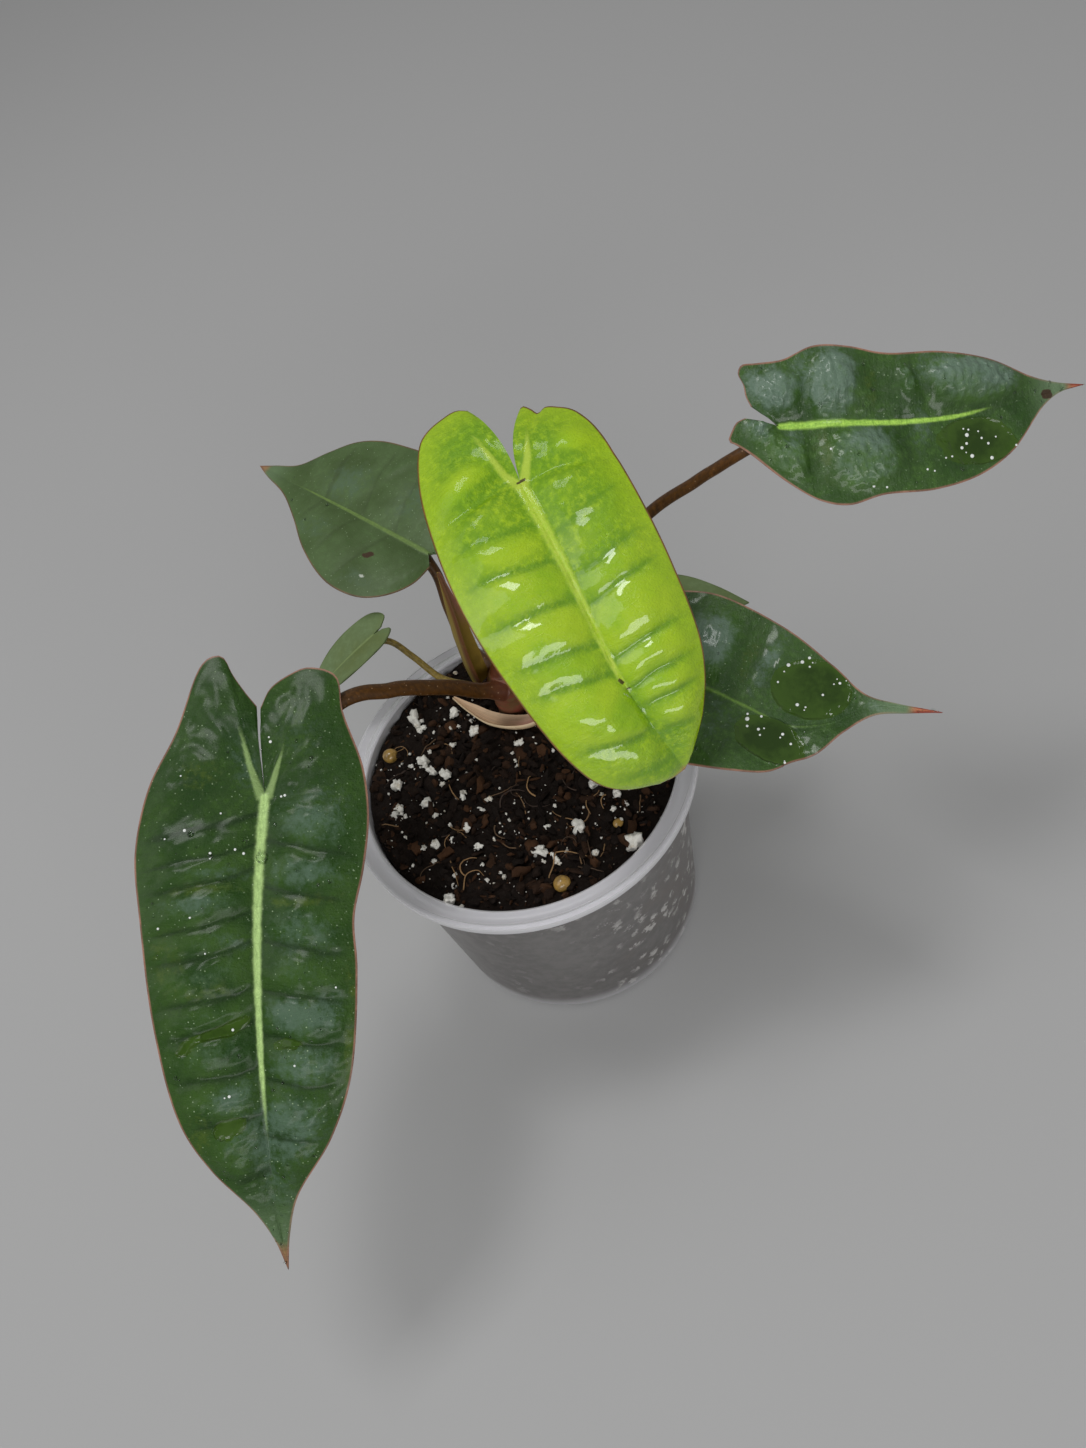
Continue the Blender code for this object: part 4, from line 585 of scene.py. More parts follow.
def blade_surface(form):
    """Rows of places, heights and painted values for the left and the right half of a blade."""
    leaf = form.leaf
    lobes, sides, starts = form.stations()
    lobe_places = np.linspace(0.0, 1.0, leaf.lobe_rows + 1)[:-1]
    share = column_places(leaf.columns)[None, :]
    halves = []
    for half, (lobe, side_points) in enumerate(zip(lobes, sides)):
        margin = np.vstack([along(lobe, lobe_places), side_points])
        start = np.concatenate([np.zeros(leaf.lobe_rows), starts])[:, None]
        middle = form.middle(start)
        out = margin[:, 1:2] - middle
        width = np.hypot(margin[:, 0:1] - start, out)
        sweep = SWEEP * np.abs(out) * share * (1.0 - share) * np.clip(start / 6.0, 0.0, 1.0)
        bow = np.zeros(len(margin))
        bow[:leaf.lobe_rows] = leaf.inner[half] * (1.0 - lobe_places) ** 4
        bow = bow[:, None] * 4.0 * share * (1.0 - share) * (-1.0 if half == 0 else 1.0)
        way = start + (margin[:, 0:1] - start) * share + sweep
        side = middle + out * share + bow
        start, share_all, width = (np.broadcast_to(table, way.shape) for table in (start, share, width))
        swell = np.sin(np.pi * share_all) * np.clip(width / SWELL_WIDTH, 0.0, 1.0)
        flat = np.stack([way.ravel(), side.ravel()], axis=-1)
        drift, fine, coarse, worm = (fractal(flat, *field).reshape(way.shape) for field in BLADE_FIELDS)
        quilt, vein = form.quilts(way + 0.9 * drift, share_all, start + 0.9 * drift, width, half)
        height = leaf.rise * np.abs(side - form.middle(way)) + leaf.swell * swell + quilt
        height = height + form.dents(way, side)
        crown, rib = form.rib_height(way, side)
        calm = np.clip(share_all * 6.0, 0.0, 1.0) * np.clip((1.0 - share_all) * 6.0, 0.0, 1.0)
        crest = quilt + np.clip(form.dents(way, side), 0.0, 3.0)
        ridged = 1.0 - np.clip(2.4 * np.abs(worm), 0.0, 1.0)
        height = height + leaf.worms * calm * ridged ** 1.5 * smooth_step(crest, 0.15, 0.9)
        height = height + leaf.crinkle * calm * (fine + 1.3 * coarse) + crown
        basal = np.zeros_like(way)
        if leaf.ribs[half]:
            gap, place = distance_to_line(way, side, leaf.ribs[half])
            thin = leaf.rib_width * (0.95 - 0.75 * place ** 0.6)
            basal = (1.0 - smooth_step(gap / thin, 0.2, 1.5)) * (1.0 - smooth_step(place, 0.4, 1.0))
            height = height + 0.25 * basal
        edge = (1.0 - share_all) * width
        along_it = way / form.length
        tip = smooth_step(along_it, leaf.tip_from - 0.01, leaf.tip_from + 0.03) * leaf.tip_strength
        pale = smooth_step(along_it, leaf.tip_from - 0.16, leaf.tip_from - 0.02)
        halves.append({"way": way, "side": side, "height": height, "share": share_all,
                       "rib": rib, "vein": vein, "crest": crest, "basal": basal, "edge": edge,
                       "tip": tip, "pale": pale, "spot": form.marks(leaf.spots, way, side, 4.0),
                       "bloom": form.marks(leaf.sheen_and_olive_patches, way + 0.8 * coarse, side + 1.2 * drift, 2.6),
                       "wet": np.zeros_like(way)})
    fill_pools(leaf, halves)
    return halves


def joined(halves, *keys):
    """The tables of both halves, flat and end to end."""
    return [np.concatenate([half[key].ravel() for half in halves]) for key in keys]


def fill_pools(leaf, halves):
    """Level the hollows that hold water, and keep how deep it is."""
    way, side, height = joined(halves, "way", "side", "height")
    wet = np.full_like(way, -0.5)
    for at_way, at_side, long, wide, turn in leaf.pools:
        dx, dy = turned(way - at_way, side - at_side, turn)
        reach = np.hypot(dx / long, dy / wide)
        rim = (reach > 0.9) & (reach < 1.15)
        table = np.stack([np.ones(rim.sum()), dx[rim], dy[rim]], axis=-1)
        level, ahead, across = np.linalg.lstsq(table, height[rim], rcond=None)[0]
        water = level + ahead * dx + across * dy + leaf.brim
        deep = water - height - 6.0 * np.clip(reach - 0.95, 0.0, None)
        wet = np.maximum(wet, deep)
        height = np.where(deep > 0.0, water, height)
    first = halves[0]["way"].size
    for half, part in zip(halves, (slice(0, first), slice(first, None))):
        half["height"] = height[part].reshape(half["way"].shape)
        half["wet"] = wet[part].reshape(half["way"].shape)


def grid_faces(rows, flip):
    """Quads between rows of point numbers, as an array."""
    quads = np.stack([rows[:-1, :-1], rows[:-1, 1:], rows[1:, 1:], rows[1:, :-1]], axis=-1).reshape(-1, 4)
    return quads[:, ::-1] if flip else quads


def edge_wall(border, total):
    """Quads that close a sheet between the border of its first layer and that of its second."""
    return np.array([(a, b, b + total, a + total) for a, b in zip(border, border[1:] + border[:1])])


def blade_data(form, halves, thickness):
    """Points, faces and painted values of a whole blade, as one closed sheet."""
    leaf = form.leaf
    grids = []
    count = 0
    spine = None
    for half in halves:
        rows, columns = half["way"].shape
        index = np.arange(count, count + rows * columns).reshape(rows, columns)
        if spine is None:
            index[:leaf.lobe_rows, 0] = index[leaf.lobe_rows, 0]
            spine = index[:, 0].copy()
        else:
            index[:, 0] = spine
        index[-1, :] = grids[0][-1, 0] if grids else index[-1, 0]
        grids.append(index)
        count += rows * columns
    values = dict(zip(halves[0], joined(halves, *halves[0])))
    way, side, height = (values.pop(key) for key in ("way", "side", "height"))
    del values["share"]
    upper = np.vstack([grid_faces(index, flip=(k == 0)) for k, index in enumerate(grids)])
    top = form.point(way, side, height)
    rib_width = form.rib_width(way)
    out = np.abs(side - form.middle(way)) / (1.25 * rib_width)
    keel = 1.1 * rib_width * np.sqrt(np.clip(1.0 - out ** 2, 0.0, 1.0)) * smooth_step(way, -1.5, 1.0)
    depth = thickness * (0.65 + 0.35 * np.clip(values["edge"] / 1.5, 0.0, 1.0)) + keel
    depth = depth + 0.18 * values["vein"] + 0.3 * values["basal"]
    bottom = form.point(way, side, height - depth)
    total = len(top)
    left, right = grids
    border = [*left[0, :], *left[1:, -1], *right[1:-1, -1][::-1], *right[0, 1:][::-1]]
    border = [p for k, p in enumerate(border) if p != border[k - 1]]
    painted = {name: np.tile(table, 2) for name, table in {"way": way, "side": side, **values}.items()}
    painted["under"] = np.repeat([0.0, 1.0], total)
    faces = np.vstack([upper, upper[:, ::-1] + total, edge_wall(border, total)])
    return np.vstack([top, bottom]), faces, painted


def drop_places(form, halves, draw):
    """Places on the upper face of the dew drops, pool beads, large drops and glint pearls.

    The first two are drawn by the seed, and the others stand in the leaf's tables.
    """
    leaf = form.leaf
    way, side, height, share, wet = joined(halves, "way", "side", "height", "share", "wet")
    dry = np.nonzero((share > 0.1) & (share < 0.93) & (wet < -0.1))[0]
    deep = np.nonzero(wet > 0.08)[0]
    gathered = []
    if leaf.beads:
        middles = draw.choice(deep, 5)
        gap = np.hypot(way[deep][:, None] - way[middles], side[deep][:, None] - side[middles])
        near = np.exp(-(gap.min(axis=1) / 1.1) ** 2) + 0.02
        gathered = draw.choice(deep, leaf.beads, replace=False, p=near / near.sum())
    large, white = ([np.argmin(np.hypot(way - at_way, side - at_side)) for at_way, at_side, _ in table]
                    for table in (leaf.lenses, leaf.glint_pearls))
    found = []
    for chosen in (draw.choice(dry, leaf.drops, replace=False), gathered, large, white):
        chosen = np.asarray(chosen, int)
        spots = form.point(way[chosen], side[chosen], height[chosen])
        ups = form.point(way[chosen], side[chosen], height[chosen] + 1.0) - spots
        found.append(list(zip(spots, ups)))
    return found


def tidy_faces(faces):
    """Drop repeated corners, so that a quad with two equal corners becomes a triangle."""
    kept = []
    for ring in faces.tolist():
        ring = [v for k, v in enumerate(ring) if v != ring[k - 1]]
        if len(set(ring)) >= 3:
            kept.append(ring)
    return kept


def make_piece(name, points, faces, material, slot, stands_for=(), painted=None, sharp=None):
    """A mesh piece from points in millimetres, riding on the plant's one body."""
    points = np.asarray(points, float)
    faces = tidy_faces(faces) if isinstance(faces, np.ndarray) else faces
    used = np.unique([v for ring in faces for v in ring])
    renumber = np.full(len(points), -1)
    renumber[used] = np.arange(len(used))
    mesh = bpy.data.meshes.new(name)
    mesh.from_pydata((points[used] * MM).tolist(), [], [[int(renumber[v]) for v in ring] for ring in faces])
    mesh.validate()
    for key, values in (painted or {}).items():
        attribute = mesh.attributes.new(key, "FLOAT", "POINT")
        attribute.data.foreach_set("value", np.asarray(values, np.float32)[used])
    mesh.shade_smooth()
    if sharp is not None:
        mesh.set_sharp_from_angle(angle=math.radians(sharp))
    mesh.materials.append(material)
    piece = bpy.data.objects.new(name, mesh)
    bpy.context.scene.collection.objects.link(piece)
    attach(piece, "root")
    if stands_for:
        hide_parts(*stands_for)


class Shade:
    """A shader socket that takes part in Python sums."""

    def __init__(self, paint, socket):
        self.paint = paint
        self.socket = socket

    def math(self, operation, *others):
        """A Math node of this socket and others."""
        return self.paint.node("ShaderNodeMath", {"operation": operation}, self, *others)

    def __add__(self, other):
        return self.math("ADD", other)

    __radd__ = __add__

    def __mul__(self, other):
        return self.math("MULTIPLY", other)

    __rmul__ = __mul__

    def __sub__(self, other):
        return self.math("SUBTRACT", other)

    def __rsub__(self, other):
        return self.paint.node("ShaderNodeMath", {"operation": "SUBTRACT"}, other, self)

    def power(self, other):
        """The socket raised to a power."""
        return self.math("POWER", other)

    def most(self, other):
        """The larger of the socket and another value."""
        return self.math("MAXIMUM", other)

    def between(self, low, high, bottom=0.0, top=1.0):
        """A soft step from bottom to top as the socket goes from low to high."""
        return self.paint.node("ShaderNodeMapRange", {"interpolation_type": "SMOOTHSTEP"},
                               self, low, high, bottom, top)


class Paint:
    """A material under construction."""

    def __init__(self, name):
        self.material = bpy.data.materials.new(name)
        self.material.use_nodes = True
        self.tree = self.material.node_tree
        self.shader = self.tree.nodes["Principled BSDF"]

    def node(self, kind, settings=None, *inputs, out=0, **named):
        """Any node, from its settings and the values or links of its sockets."""
        made = self.tree.nodes.new(kind)
        for key, value in (settings or {}).items():
            setattr(made, key, value)
        for k, value in enumerate(inputs):
            self.feed(made.inputs[k], value)
        for key, value in named.items():
            self.feed(made.inputs[key.replace("_", " ")], value)
        return Shade(self, made.outputs[out])

    def feed(self, socket, value):
        """Set or link one socket."""
        if isinstance(value, Shade):
            self.tree.links.new(value.socket, socket)
        elif socket.type == "RGBA":
            socket.default_value = (*tuple(value)[:3], 1.0)
        else:
            socket.default_value = value

    def value(self, name):
        """A painted value of the mesh."""
        return self.node("ShaderNodeAttribute", {"attribute_name": name}, out=2)

    def place(self, *stretch):
        """The place on the object in millimetres, which may be stretched along x, y and z."""
        spot = self.node("ShaderNodeTexCoord", out=3)
        return self.node("ShaderNodeVectorMath", {"operation": "MULTIPLY"}, spot,
                         tuple(s / MM for s in stretch or (1.0, 1.0, 1.0)))

    def blade_place(self, along_it=1.0, across=1.0):
        """The place on the flattened blade in millimetres, which may be stretched."""
        return self.node("ShaderNodeCombineXYZ", None, self.value("way") * along_it,
                         self.value("side") * across, 0.0)

    def grain(self, place, size, detail=3.0, roughness=0.55):
        """Soft noise from 0 to 1, for features about size across."""
        return self.node("ShaderNodeTexNoise", None, Vector=place, Scale=1.0 / size, Detail=detail,
                         Roughness=roughness)

    def cells(self, place, size):
        """Distance in a field of round cells."""
        return self.node("ShaderNodeTexVoronoi", None, Vector=place, Scale=1.0 / size)

    def mix(self, share, first, second):
        """A colour between two colours."""
        made = self.tree.nodes.new("ShaderNodeMix")
        made.data_type = "RGBA"
        self.feed(made.inputs[0], share)
        self.feed(made.inputs[6], first)
        self.feed(made.inputs[7], second)
        return Shade(self, made.outputs[2])

    def bump(self, height, depth, strength):
        """Fine relief that feeds the shader's normal; depth in millimetres."""
        made = self.node("ShaderNodeBump", None, Height=height, Strength=strength,
                         Distance=depth * MM)
        self.feed(self.shader.inputs["Normal"], made)

    def finish(self, **sockets):
        """Set or link the Principled shader's own sockets."""
        for key, value in sockets.items():
            self.feed(self.shader.inputs[key.replace("_", " ")], value)
        return self.material


def tinted(colour, share):
    """A darker or lighter tint of a colour."""
    return tuple(min(1.0, share * c) for c in colour)


def colour_property(name, description, default):
    """A colour that a user may change."""
    return FloatVectorProperty(name=name, description=description, subtype="COLOR", size=3,
                               min=0.0, max=1.0, default=default)


class CupSettings(bpy.types.PropertyGroup):
    """Sizes and finish of the clear cup."""
    colour: colour_property("Plastic", "Colour of the frosted plastic", (0.84, 0.83, 0.87))
    haze: colour_property(
        "Haze", "Colour of the wall where soil stands behind it", (0.060, 0.048, 0.041))
    clearness: FloatProperty(
        name="Clearness", description="How much light the wall lets through", subtype="FACTOR",
        min=0.0, max=1.0, default=0.45)
    frost: FloatProperty(
        name="Frost", description="Roughness of the wall", subtype="FACTOR", min=0.0, max=1.0,
        default=0.46)
    sides: IntProperty(
        name="Sides", description="Facets round the cup", min=48, max=256, default=160)


class SoilSettings(bpy.types.PropertyGroup):
    """What the soil is made of."""
    peat: colour_property(
        "Peat", "Colour of the damp peat and coco", (0.008, 0.0045, 0.003))
    bark: colour_property(
        "Bark", "Colour of the lighter bark crumbs", (0.060, 0.026, 0.011))
    perlite: colour_property("Perlite", "Colour of the perlite grains", (0.80, 0.78, 0.72))
    prill: colour_property("Feed prill", "Colour of the feed prills", (0.42, 0.25, 0.06))
    crumb_count: IntProperty(
        name="Crumbs", description="Number of loose crumbs on top", min=0, max=2400, default=1900)
    grain_count: IntProperty(
        name="Small grains", description="Number of small strewn perlite grains", min=0, max=900,
        default=420)
    fibre_count: IntProperty(
        name="Rootlets", description="Number of strewn fibres", min=0, max=200, default=60)


class LeafSettings(bpy.types.PropertyGroup):
    """Sizes and colours of the leaf blades."""
    thickness: FloatProperty(
        name="Blade thickness", description="Thickness of a blade between its ribs", unit="LENGTH",
        min=0.0002, max=0.0012, default=0.0005, precision=5)
    new_green: colour_property("New leaf", "Colour of the newest leaf", (0.28, 0.51, 0.003))
    dark_green: colour_property("Dark leaf", "Colour of the largest leaf", (0.014, 0.054, 0.004))
    deep_green: colour_property(
        "Deep leaf", "Colour of the blistered leaves", (0.026, 0.078, 0.009))
    matt_green: colour_property(
        "Matt leaf", "Colour of the smooth leaf behind", (0.052, 0.099, 0.022))
    pale_green: colour_property(
        "Pale leaf", "Colour of the two small leaves", (0.155, 0.20, 0.055))
    margin: colour_property("Margin", "Colour of the thin leaf edge", (0.40, 0.20, 0.14))
    tip: colour_property("Tip", "Colour of the drip tip", (0.56, 0.20, 0.10))


class StalkSettings(bpy.types.PropertyGroup):
    """Colours of the stalks, stem and sheaths."""
    brown: colour_property(
        "Brown stalk", "Colour of the large leaves' stalks", (0.088, 0.034, 0.004))
    olive: colour_property(
        "Olive stalk", "Colour of the small leaves' stalks", (0.24, 0.17, 0.035))
    stem: colour_property("Stem", "Colour of the short stem", (0.15, 0.07, 0.03))
    sheath: colour_property("Sheath", "Colour of the standing sheath", (0.27, 0.19, 0.03))
    peeled: colour_property(
        "Peeled sheath", "Colour of the fallen sheath", (0.74, 0.52, 0.31))


class StageSettings(bpy.types.PropertyGroup):
    """Floor, light and camera."""
    floor: colour_property("Floor", "Colour of the plain floor", (0.47, 0.47, 0.47))
    key_power: FloatProperty(
        name="Key light", description="Power of the large soft light in watts", unit="POWER",
        min=0.0, max=200.0, default=3.4)
    glint_power: FloatProperty(
        name="Glint light", description="Power of the small overhead light in watts",
        unit="POWER", min=0.0, max=200.0, default=2.2)
    fill_power: FloatProperty(
        name="Window light", description="Power of the wide light in front, behind the camera",
        unit="POWER", min=0.0, max=200.0, default=5.0)
    sky: FloatProperty(
        name="Surround", description="Brightness of the even surround", min=0.0, max=4.0,
        default=0.3)


def ring_rows(profile, sides):
    """Points of a turned profile, and its rows of point numbers closed round."""
    angles = 2.0 * np.pi * np.arange(sides) / sides
    points = []
    rows = []
    for radius, height in profile:
        rows.append(np.arange(len(points), len(points) + sides))
        points += [(radius * math.cos(a), radius * math.sin(a), height) for a in angles]
    rows = np.array(rows)
    return np.array(points), np.hstack([rows, rows[:, :1]])


def arc(centre, radius, start, end, steps):
    """Points of a round stretch in a turned profile; angles in degrees."""
    angles = [math.radians(start + (end - start) * k / steps) for k in range(steps + 1)]
    return [(centre[0] + radius * math.cos(a), centre[1] + radius * math.sin(a)) for a in angles]


def straight(start, end, steps):
    """Points of a straight stretch in a turned profile, after its start."""
    return [tuple(a + (b - a) * (k / steps) for a, b in zip(start, end)) for k in range(1, steps + 1)]


def turned_body(profile, sides):
    """Points and faces of a turned profile that starts and ends on its axis."""
    points, rows = ring_rows(profile, sides)
    faces = grid_faces(rows, flip=True)
    last = len(points) - sides
    faces = np.where(faces < sides, 0, faces)
    return points, np.where(faces >= last, last, faces)


def cup_profile():
    """The cup's section: out along the foot, up the wall, over the rolled rim and down inside."""
    lip = POT_HEIGHT - LIP_HEIGHT
    mouth = RIM_RADIUS - RIM_WIDTH
    inner = mouth - WALL
    inner_foot = FOOT_RADIUS - WALL
    recess = 0.9
    bead = 0.85
    crown = 0.75
    floor_top = FLOOR + 0.6
    return [(0.0, recess), (12.0, recess), (30.0, recess), (31.2, 0.0), (33.6, 0.0),
            *arc((FOOT_RADIUS - FOOT_ROUND, FOOT_ROUND), FOOT_ROUND, -80.0, 0.0, 8),
            *straight((FOOT_RADIUS, FOOT_ROUND), (mouth, lip + 0.5), WALL_STEPS)[:-1],
            *arc((mouth + 0.4, lip + 0.2), 0.4, 180.0, 90.0, 3),
            (RIM_RADIUS - 1.3, lip + 0.6), (RIM_RADIUS - 1.0, lip + 0.25),
            *arc((RIM_RADIUS - 0.55, lip + 0.4), 0.4, 200.0, 350.0, 6),
            (RIM_RADIUS - 0.08, lip + 1.4),
            *arc((RIM_RADIUS - bead, POT_HEIGHT - bead), bead, 0.0, 110.0, 9),
            (RIM_RADIUS - 1.9, POT_HEIGHT - 0.42), (inner + 1.5, POT_HEIGHT - 0.36),
            *arc((inner + crown, POT_HEIGHT - crown), crown, 80.0, 180.0, 6),
            *straight((inner, POT_HEIGHT - crown), (inner_foot, FLOOR + INNER_ROUND), WALL_STEPS),
            *arc((inner_foot - INNER_ROUND, FLOOR + INNER_ROUND), INNER_ROUND, -10.0, -90.0, 5),
            (12.0, floor_top), (0.0, floor_top)]


def cup_material(settings):
    """Frosted plastic: clear at the rim, and showing soil and perlite below it."""
    paint = Paint("cup_plastic")
    place = paint.place()
    cloud = paint.grain(place, 16.0, 3.0)
    near = paint.grain(place, 2.6, 3.0, 0.6)
    fine = paint.grain(place, 0.9, 2.0, 0.6)
    height = paint.node("ShaderNodeSeparateXYZ", None, place, out=2)
    x = paint.node("ShaderNodeSeparateXYZ", None, place)
    lit = (x * 0.012 + cloud * 1.1).between(0.3, 1.0)
    clumps = paint.grain(paint.place(), 9.0, 2.0, 0.5)
    bits = paint.cells(paint.place(1.0, 1.0, 0.9), 4.0) + 0.9 * (fine - 0.5)
    bits = bits + 0.7 * (near - 0.5)
    grains = bits.between(0.22, 0.40, 1.0, 0.0) * clumps.between(0.40, 0.54) * lit
    lumps = (0.35 * cloud + 0.65 * near).between(0.38, 0.62)
    haze = paint.mix(lumps, settings.haze, (0.020, 0.010, 0.006))
    haze = paint.mix((x * 0.01 + cloud).between(0.6, 0.9, 0.0, 0.5), haze, (0.085, 0.052, 0.034))
    haze = paint.mix(cloud.between(0.3, 0.65, 0.4, 0.9) * grains, haze, (0.68, 0.66, 0.62))
    # Painted light: the wall is painted paler towards the foot, where light shows through the plastic
    haze = paint.mix(height.between(1.5, 9.0, 0.55, 0.0), haze, settings.colour)
    above_soil = height.between(65.5, 68.5)
    colour = paint.mix(above_soil, haze, settings.colour)
    rough = settings.frost + 0.15 * cloud - 0.14 * above_soil
    return paint.finish(Base_Color=colour, Roughness=rough,
                        Transmission_Weight=settings.clearness, IOR=1.46, Coat_Weight=0.12,
                        Coat_Roughness=0.12, Specular_IOR_Level=0.15)


class PHILO_OT_cup(bpy.types.Operator):
    """Build the clear cup with its rolled rim"""
    bl_idname = "philo.cup"
    bl_label = "Cup"

    def execute(self, context):
        settings = context.scene.philo_cup
        points, faces = turned_body(cup_profile(), settings.sides)
        wobble = 1.0 + 0.0016 * np.sin(3.0 * np.arctan2(points[:, 1], points[:, 0]) + 0.8)
        points[:, :2] *= np.minimum(wobble, 1.0)[:, None]
        make_piece("cup", points, faces, cup_material(settings), "cup_plastic", ["pot"], sharp=50.0)
        return {"FINISHED"}


def soil_level(x, y):
    """Height of the soil's own surface at a place, without its crumbs."""
    from_stem = math.hypot(x - STEM_PLACE[0], y - STEM_PLACE[1])
    mound = 1.3 * math.exp(-(from_stem / 15.0) ** 2)
    swell = 0.9 * noise.noise(Vector((x / 13.0, y / 13.0, 4.0)))
    lumps = 0.75 * noise.fractal(Vector((x / 4.2, y / 4.2, 1.0)), 1.0, 2.0, 3)
    clods = 0.35 * noise.fractal(Vector((x / 1.6, y / 1.6, 7.0)), 1.0, 2.0, 2)
    return min(SOIL_TOP + mound + swell + lumps + clods, POT_HEIGHT - 0.5)


def soil_material(settings):
    """Damp peat and coco; each crumb has its own tint."""
    paint = Paint("soil")
    place = paint.place()
    tint = paint.value("tint")
    mottle = paint.grain(place, 0.8, 4.0, 0.7)
    threads = paint.grain(paint.place(1.0, 0.25, 0.6), 0.5, 3.0, 0.6)
    share = (tint.power(2.2) * 0.9 + 0.25 * (mottle - 0.5) + 0.12 * (threads - 0.5)).between(0.0, 1.0)
    colour = paint.mix(share, settings.peat, settings.bark)
    specks = paint.cells(place, 2.3).between(0.10, 0.16, 1.0, 0.0)
    side = paint.value("side_wall")
    colour = paint.mix(specks * side, colour, settings.perlite)
    paint.bump(mottle, 0.35, 0.9)
    return paint.finish(Base_Color=colour, Roughness=0.95 - 0.35 * mottle.between(0.45, 0.75),
                        Specular_IOR_Level=0.2)


def rough_ball(levels, seed, stretch, depth, scale):
    """Points and faces of an uneven ball of radius about 1."""
    points, faces = ico_ball(levels)
    grown = 1.0 + depth * fractal(points, scale, 3, seed)
    return points * grown[:, None] * np.array(stretch), faces


def ico_ball(levels):
    """A ball of near-equal triangles."""
    g = (1.0 + math.sqrt(5.0)) / 2.0
    points = [(-1, g, 0), (1, g, 0), (-1, -g, 0), (1, -g, 0), (0, -1, g), (0, 1, g), (0, -1, -g),
              (0, 1, -g), (g, 0, -1), (g, 0, 1), (-g, 0, -1), (-g, 0, 1)]
    points = [tuple(unit(p)) for p in points]
    faces = [(0, 11, 5), (0, 5, 1), (0, 1, 7), (0, 7, 10), (0, 10, 11), (1, 5, 9), (5, 11, 4),
             (11, 10, 2), (10, 7, 6), (7, 1, 8), (3, 9, 4), (3, 4, 2), (3, 2, 6), (3, 6, 8),
             (3, 8, 9), (4, 9, 5), (2, 4, 11), (6, 2, 10), (8, 6, 7), (9, 8, 1)]
    for _ in range(levels):
        middles = {}
        finer = []
        for a, b, c in faces:
            corners = []
            for p, q in ((a, b), (b, c), (c, a)):
                key = (min(p, q), max(p, q))
                if key not in middles:
                    middles[key] = len(points)
                    points.append(tuple(unit(np.array(points[p]) + np.array(points[q]))))
                corners.append(middles[key])
            ab, bc, ca = corners
            finer += [(a, ab, ca), (b, bc, ab), (c, ca, bc), (ab, bc, ca)]
        faces = finer
    return np.array(points), np.array(faces)


def turn_matrix(draw):
    """A random rotation."""
    w, x, y, z = unit(draw.normal(size=4))
    return np.array([[1 - 2 * (y * y + z * z), 2 * (x * y - z * w), 2 * (x * z + y * w)],
                     [2 * (x * y + z * w), 1 - 2 * (x * x + z * z), 2 * (y * z - x * w)],
                     [2 * (x * z - y * w), 2 * (y * z + x * w), 1 - 2 * (x * x + y * y)]])


class Heap:
    """Many small bodies gathered into one mesh."""

    def __init__(self):
        self.points = []
        self.faces = []
        self.tints = []
        self.count = 0

    def add(self, points, faces, tint=0.0):
        """Put one body in."""
        rings = faces.tolist() if isinstance(faces, np.ndarray) else faces
        self.points.append(points)
        self.faces += [[v + self.count for v in ring] for ring in rings]
        self.tints.append(np.full(len(points), tint))
        self.count += len(points)

    def piece(self, name, material, slot, **more):
        """The heap as one piece."""
        make_piece(name, np.vstack(self.points), self.faces, material, slot,
                   painted={"tint": np.concatenate(self.tints)}, **more)


def inside_cup(draw, reach):
    """A random place on the soil, off the stem."""
    while True:
        radius = reach * math.sqrt(draw.random())
        angle = 2.0 * math.pi * draw.random()
        x = radius * math.cos(angle)
        y = radius * math.sin(angle)
        if math.hypot(x - STEM_PLACE[0], y - STEM_PLACE[1]) > STEM_RADIUS + 1.0:
            return x, y


class PHILO_OT_soil(bpy.types.Operator):
    """Fill the cup with soil and strew crumbs over it"""
    bl_idname = "philo.soil"
    bl_label = "Soil"

    def execute(self, context):
        settings = context.scene.philo_soil
        material = soil_material(settings)
        level_tint = 0.25
        top = [(SOIL_RADIUS * k / SOIL_RINGS, SOIL_TOP) for k in range(SOIL_RINGS + 1)]
        wall = straight((SOIL_RADIUS, SOIL_TOP - 1.2), (SOIL_FOOT_RADIUS, 3.4), 12)
        points, rows = ring_rows([*top, *wall, (SOIL_FOOT_RADIUS - 2.0, SOIL_FLOOR)], SOIL_SPOKES)
        rows[0, :] = 0
        walls = np.ones(len(points) + 1)
        walls[:SOIL_RINGS * SOIL_SPOKES] = 0.0
        tints = np.full(len(points) + 1, 0.35)
        for k in range(len(top) * SOIL_SPOKES):
            points[k, 2] = soil_level(*points[k, :2])
            tints[k] = max(0.0, level_tint + 0.25 * (points[k, 2] - SOIL_TOP))
        floor = len(points)
        points = np.vstack([points, (0.0, 0.0, SOIL_FLOOR)])
        tints[floor] = 0.3
        foot = rows[-1].tolist()
        faces = tidy_faces(grid_faces(rows, flip=False))
        faces += [[a, floor, b] for a, b in zip(foot, foot[1:])]
        make_piece("soil_bed", points, faces, material, "soil", ["soil"],
                   painted={"tint": tints, "side_wall": walls})
        draw = np.random.default_rng(CRUMB_SEED)
        shapes = [rough_ball(1, 3.0 * k, (1.5 - 0.07 * k, 0.7 + 0.04 * k, 0.30 + 0.06 * k), 0.6, 0.8)
                  for k in range(8)]
        heap = Heap()
        for _ in range(settings.crumb_count):
            x, y = inside_cup(draw, SOIL_RADIUS - 0.9)
            size = 0.35 + 1.45 * draw.random() ** 3.0
            shape, triangles = shapes[draw.integers(len(shapes))]
            lift = size * draw.uniform(-0.1, 0.55)
            body = shape @ turn_matrix(draw).T * size
            centre = np.array([x, y, min(soil_level(x, y) + lift, POT_HEIGHT + 0.6 - size)])
            heap.add(body + centre, triangles, draw.random())
        heap.piece("soil_crumbs", material, "soil", sharp=55.0)
        return {"FINISHED"}


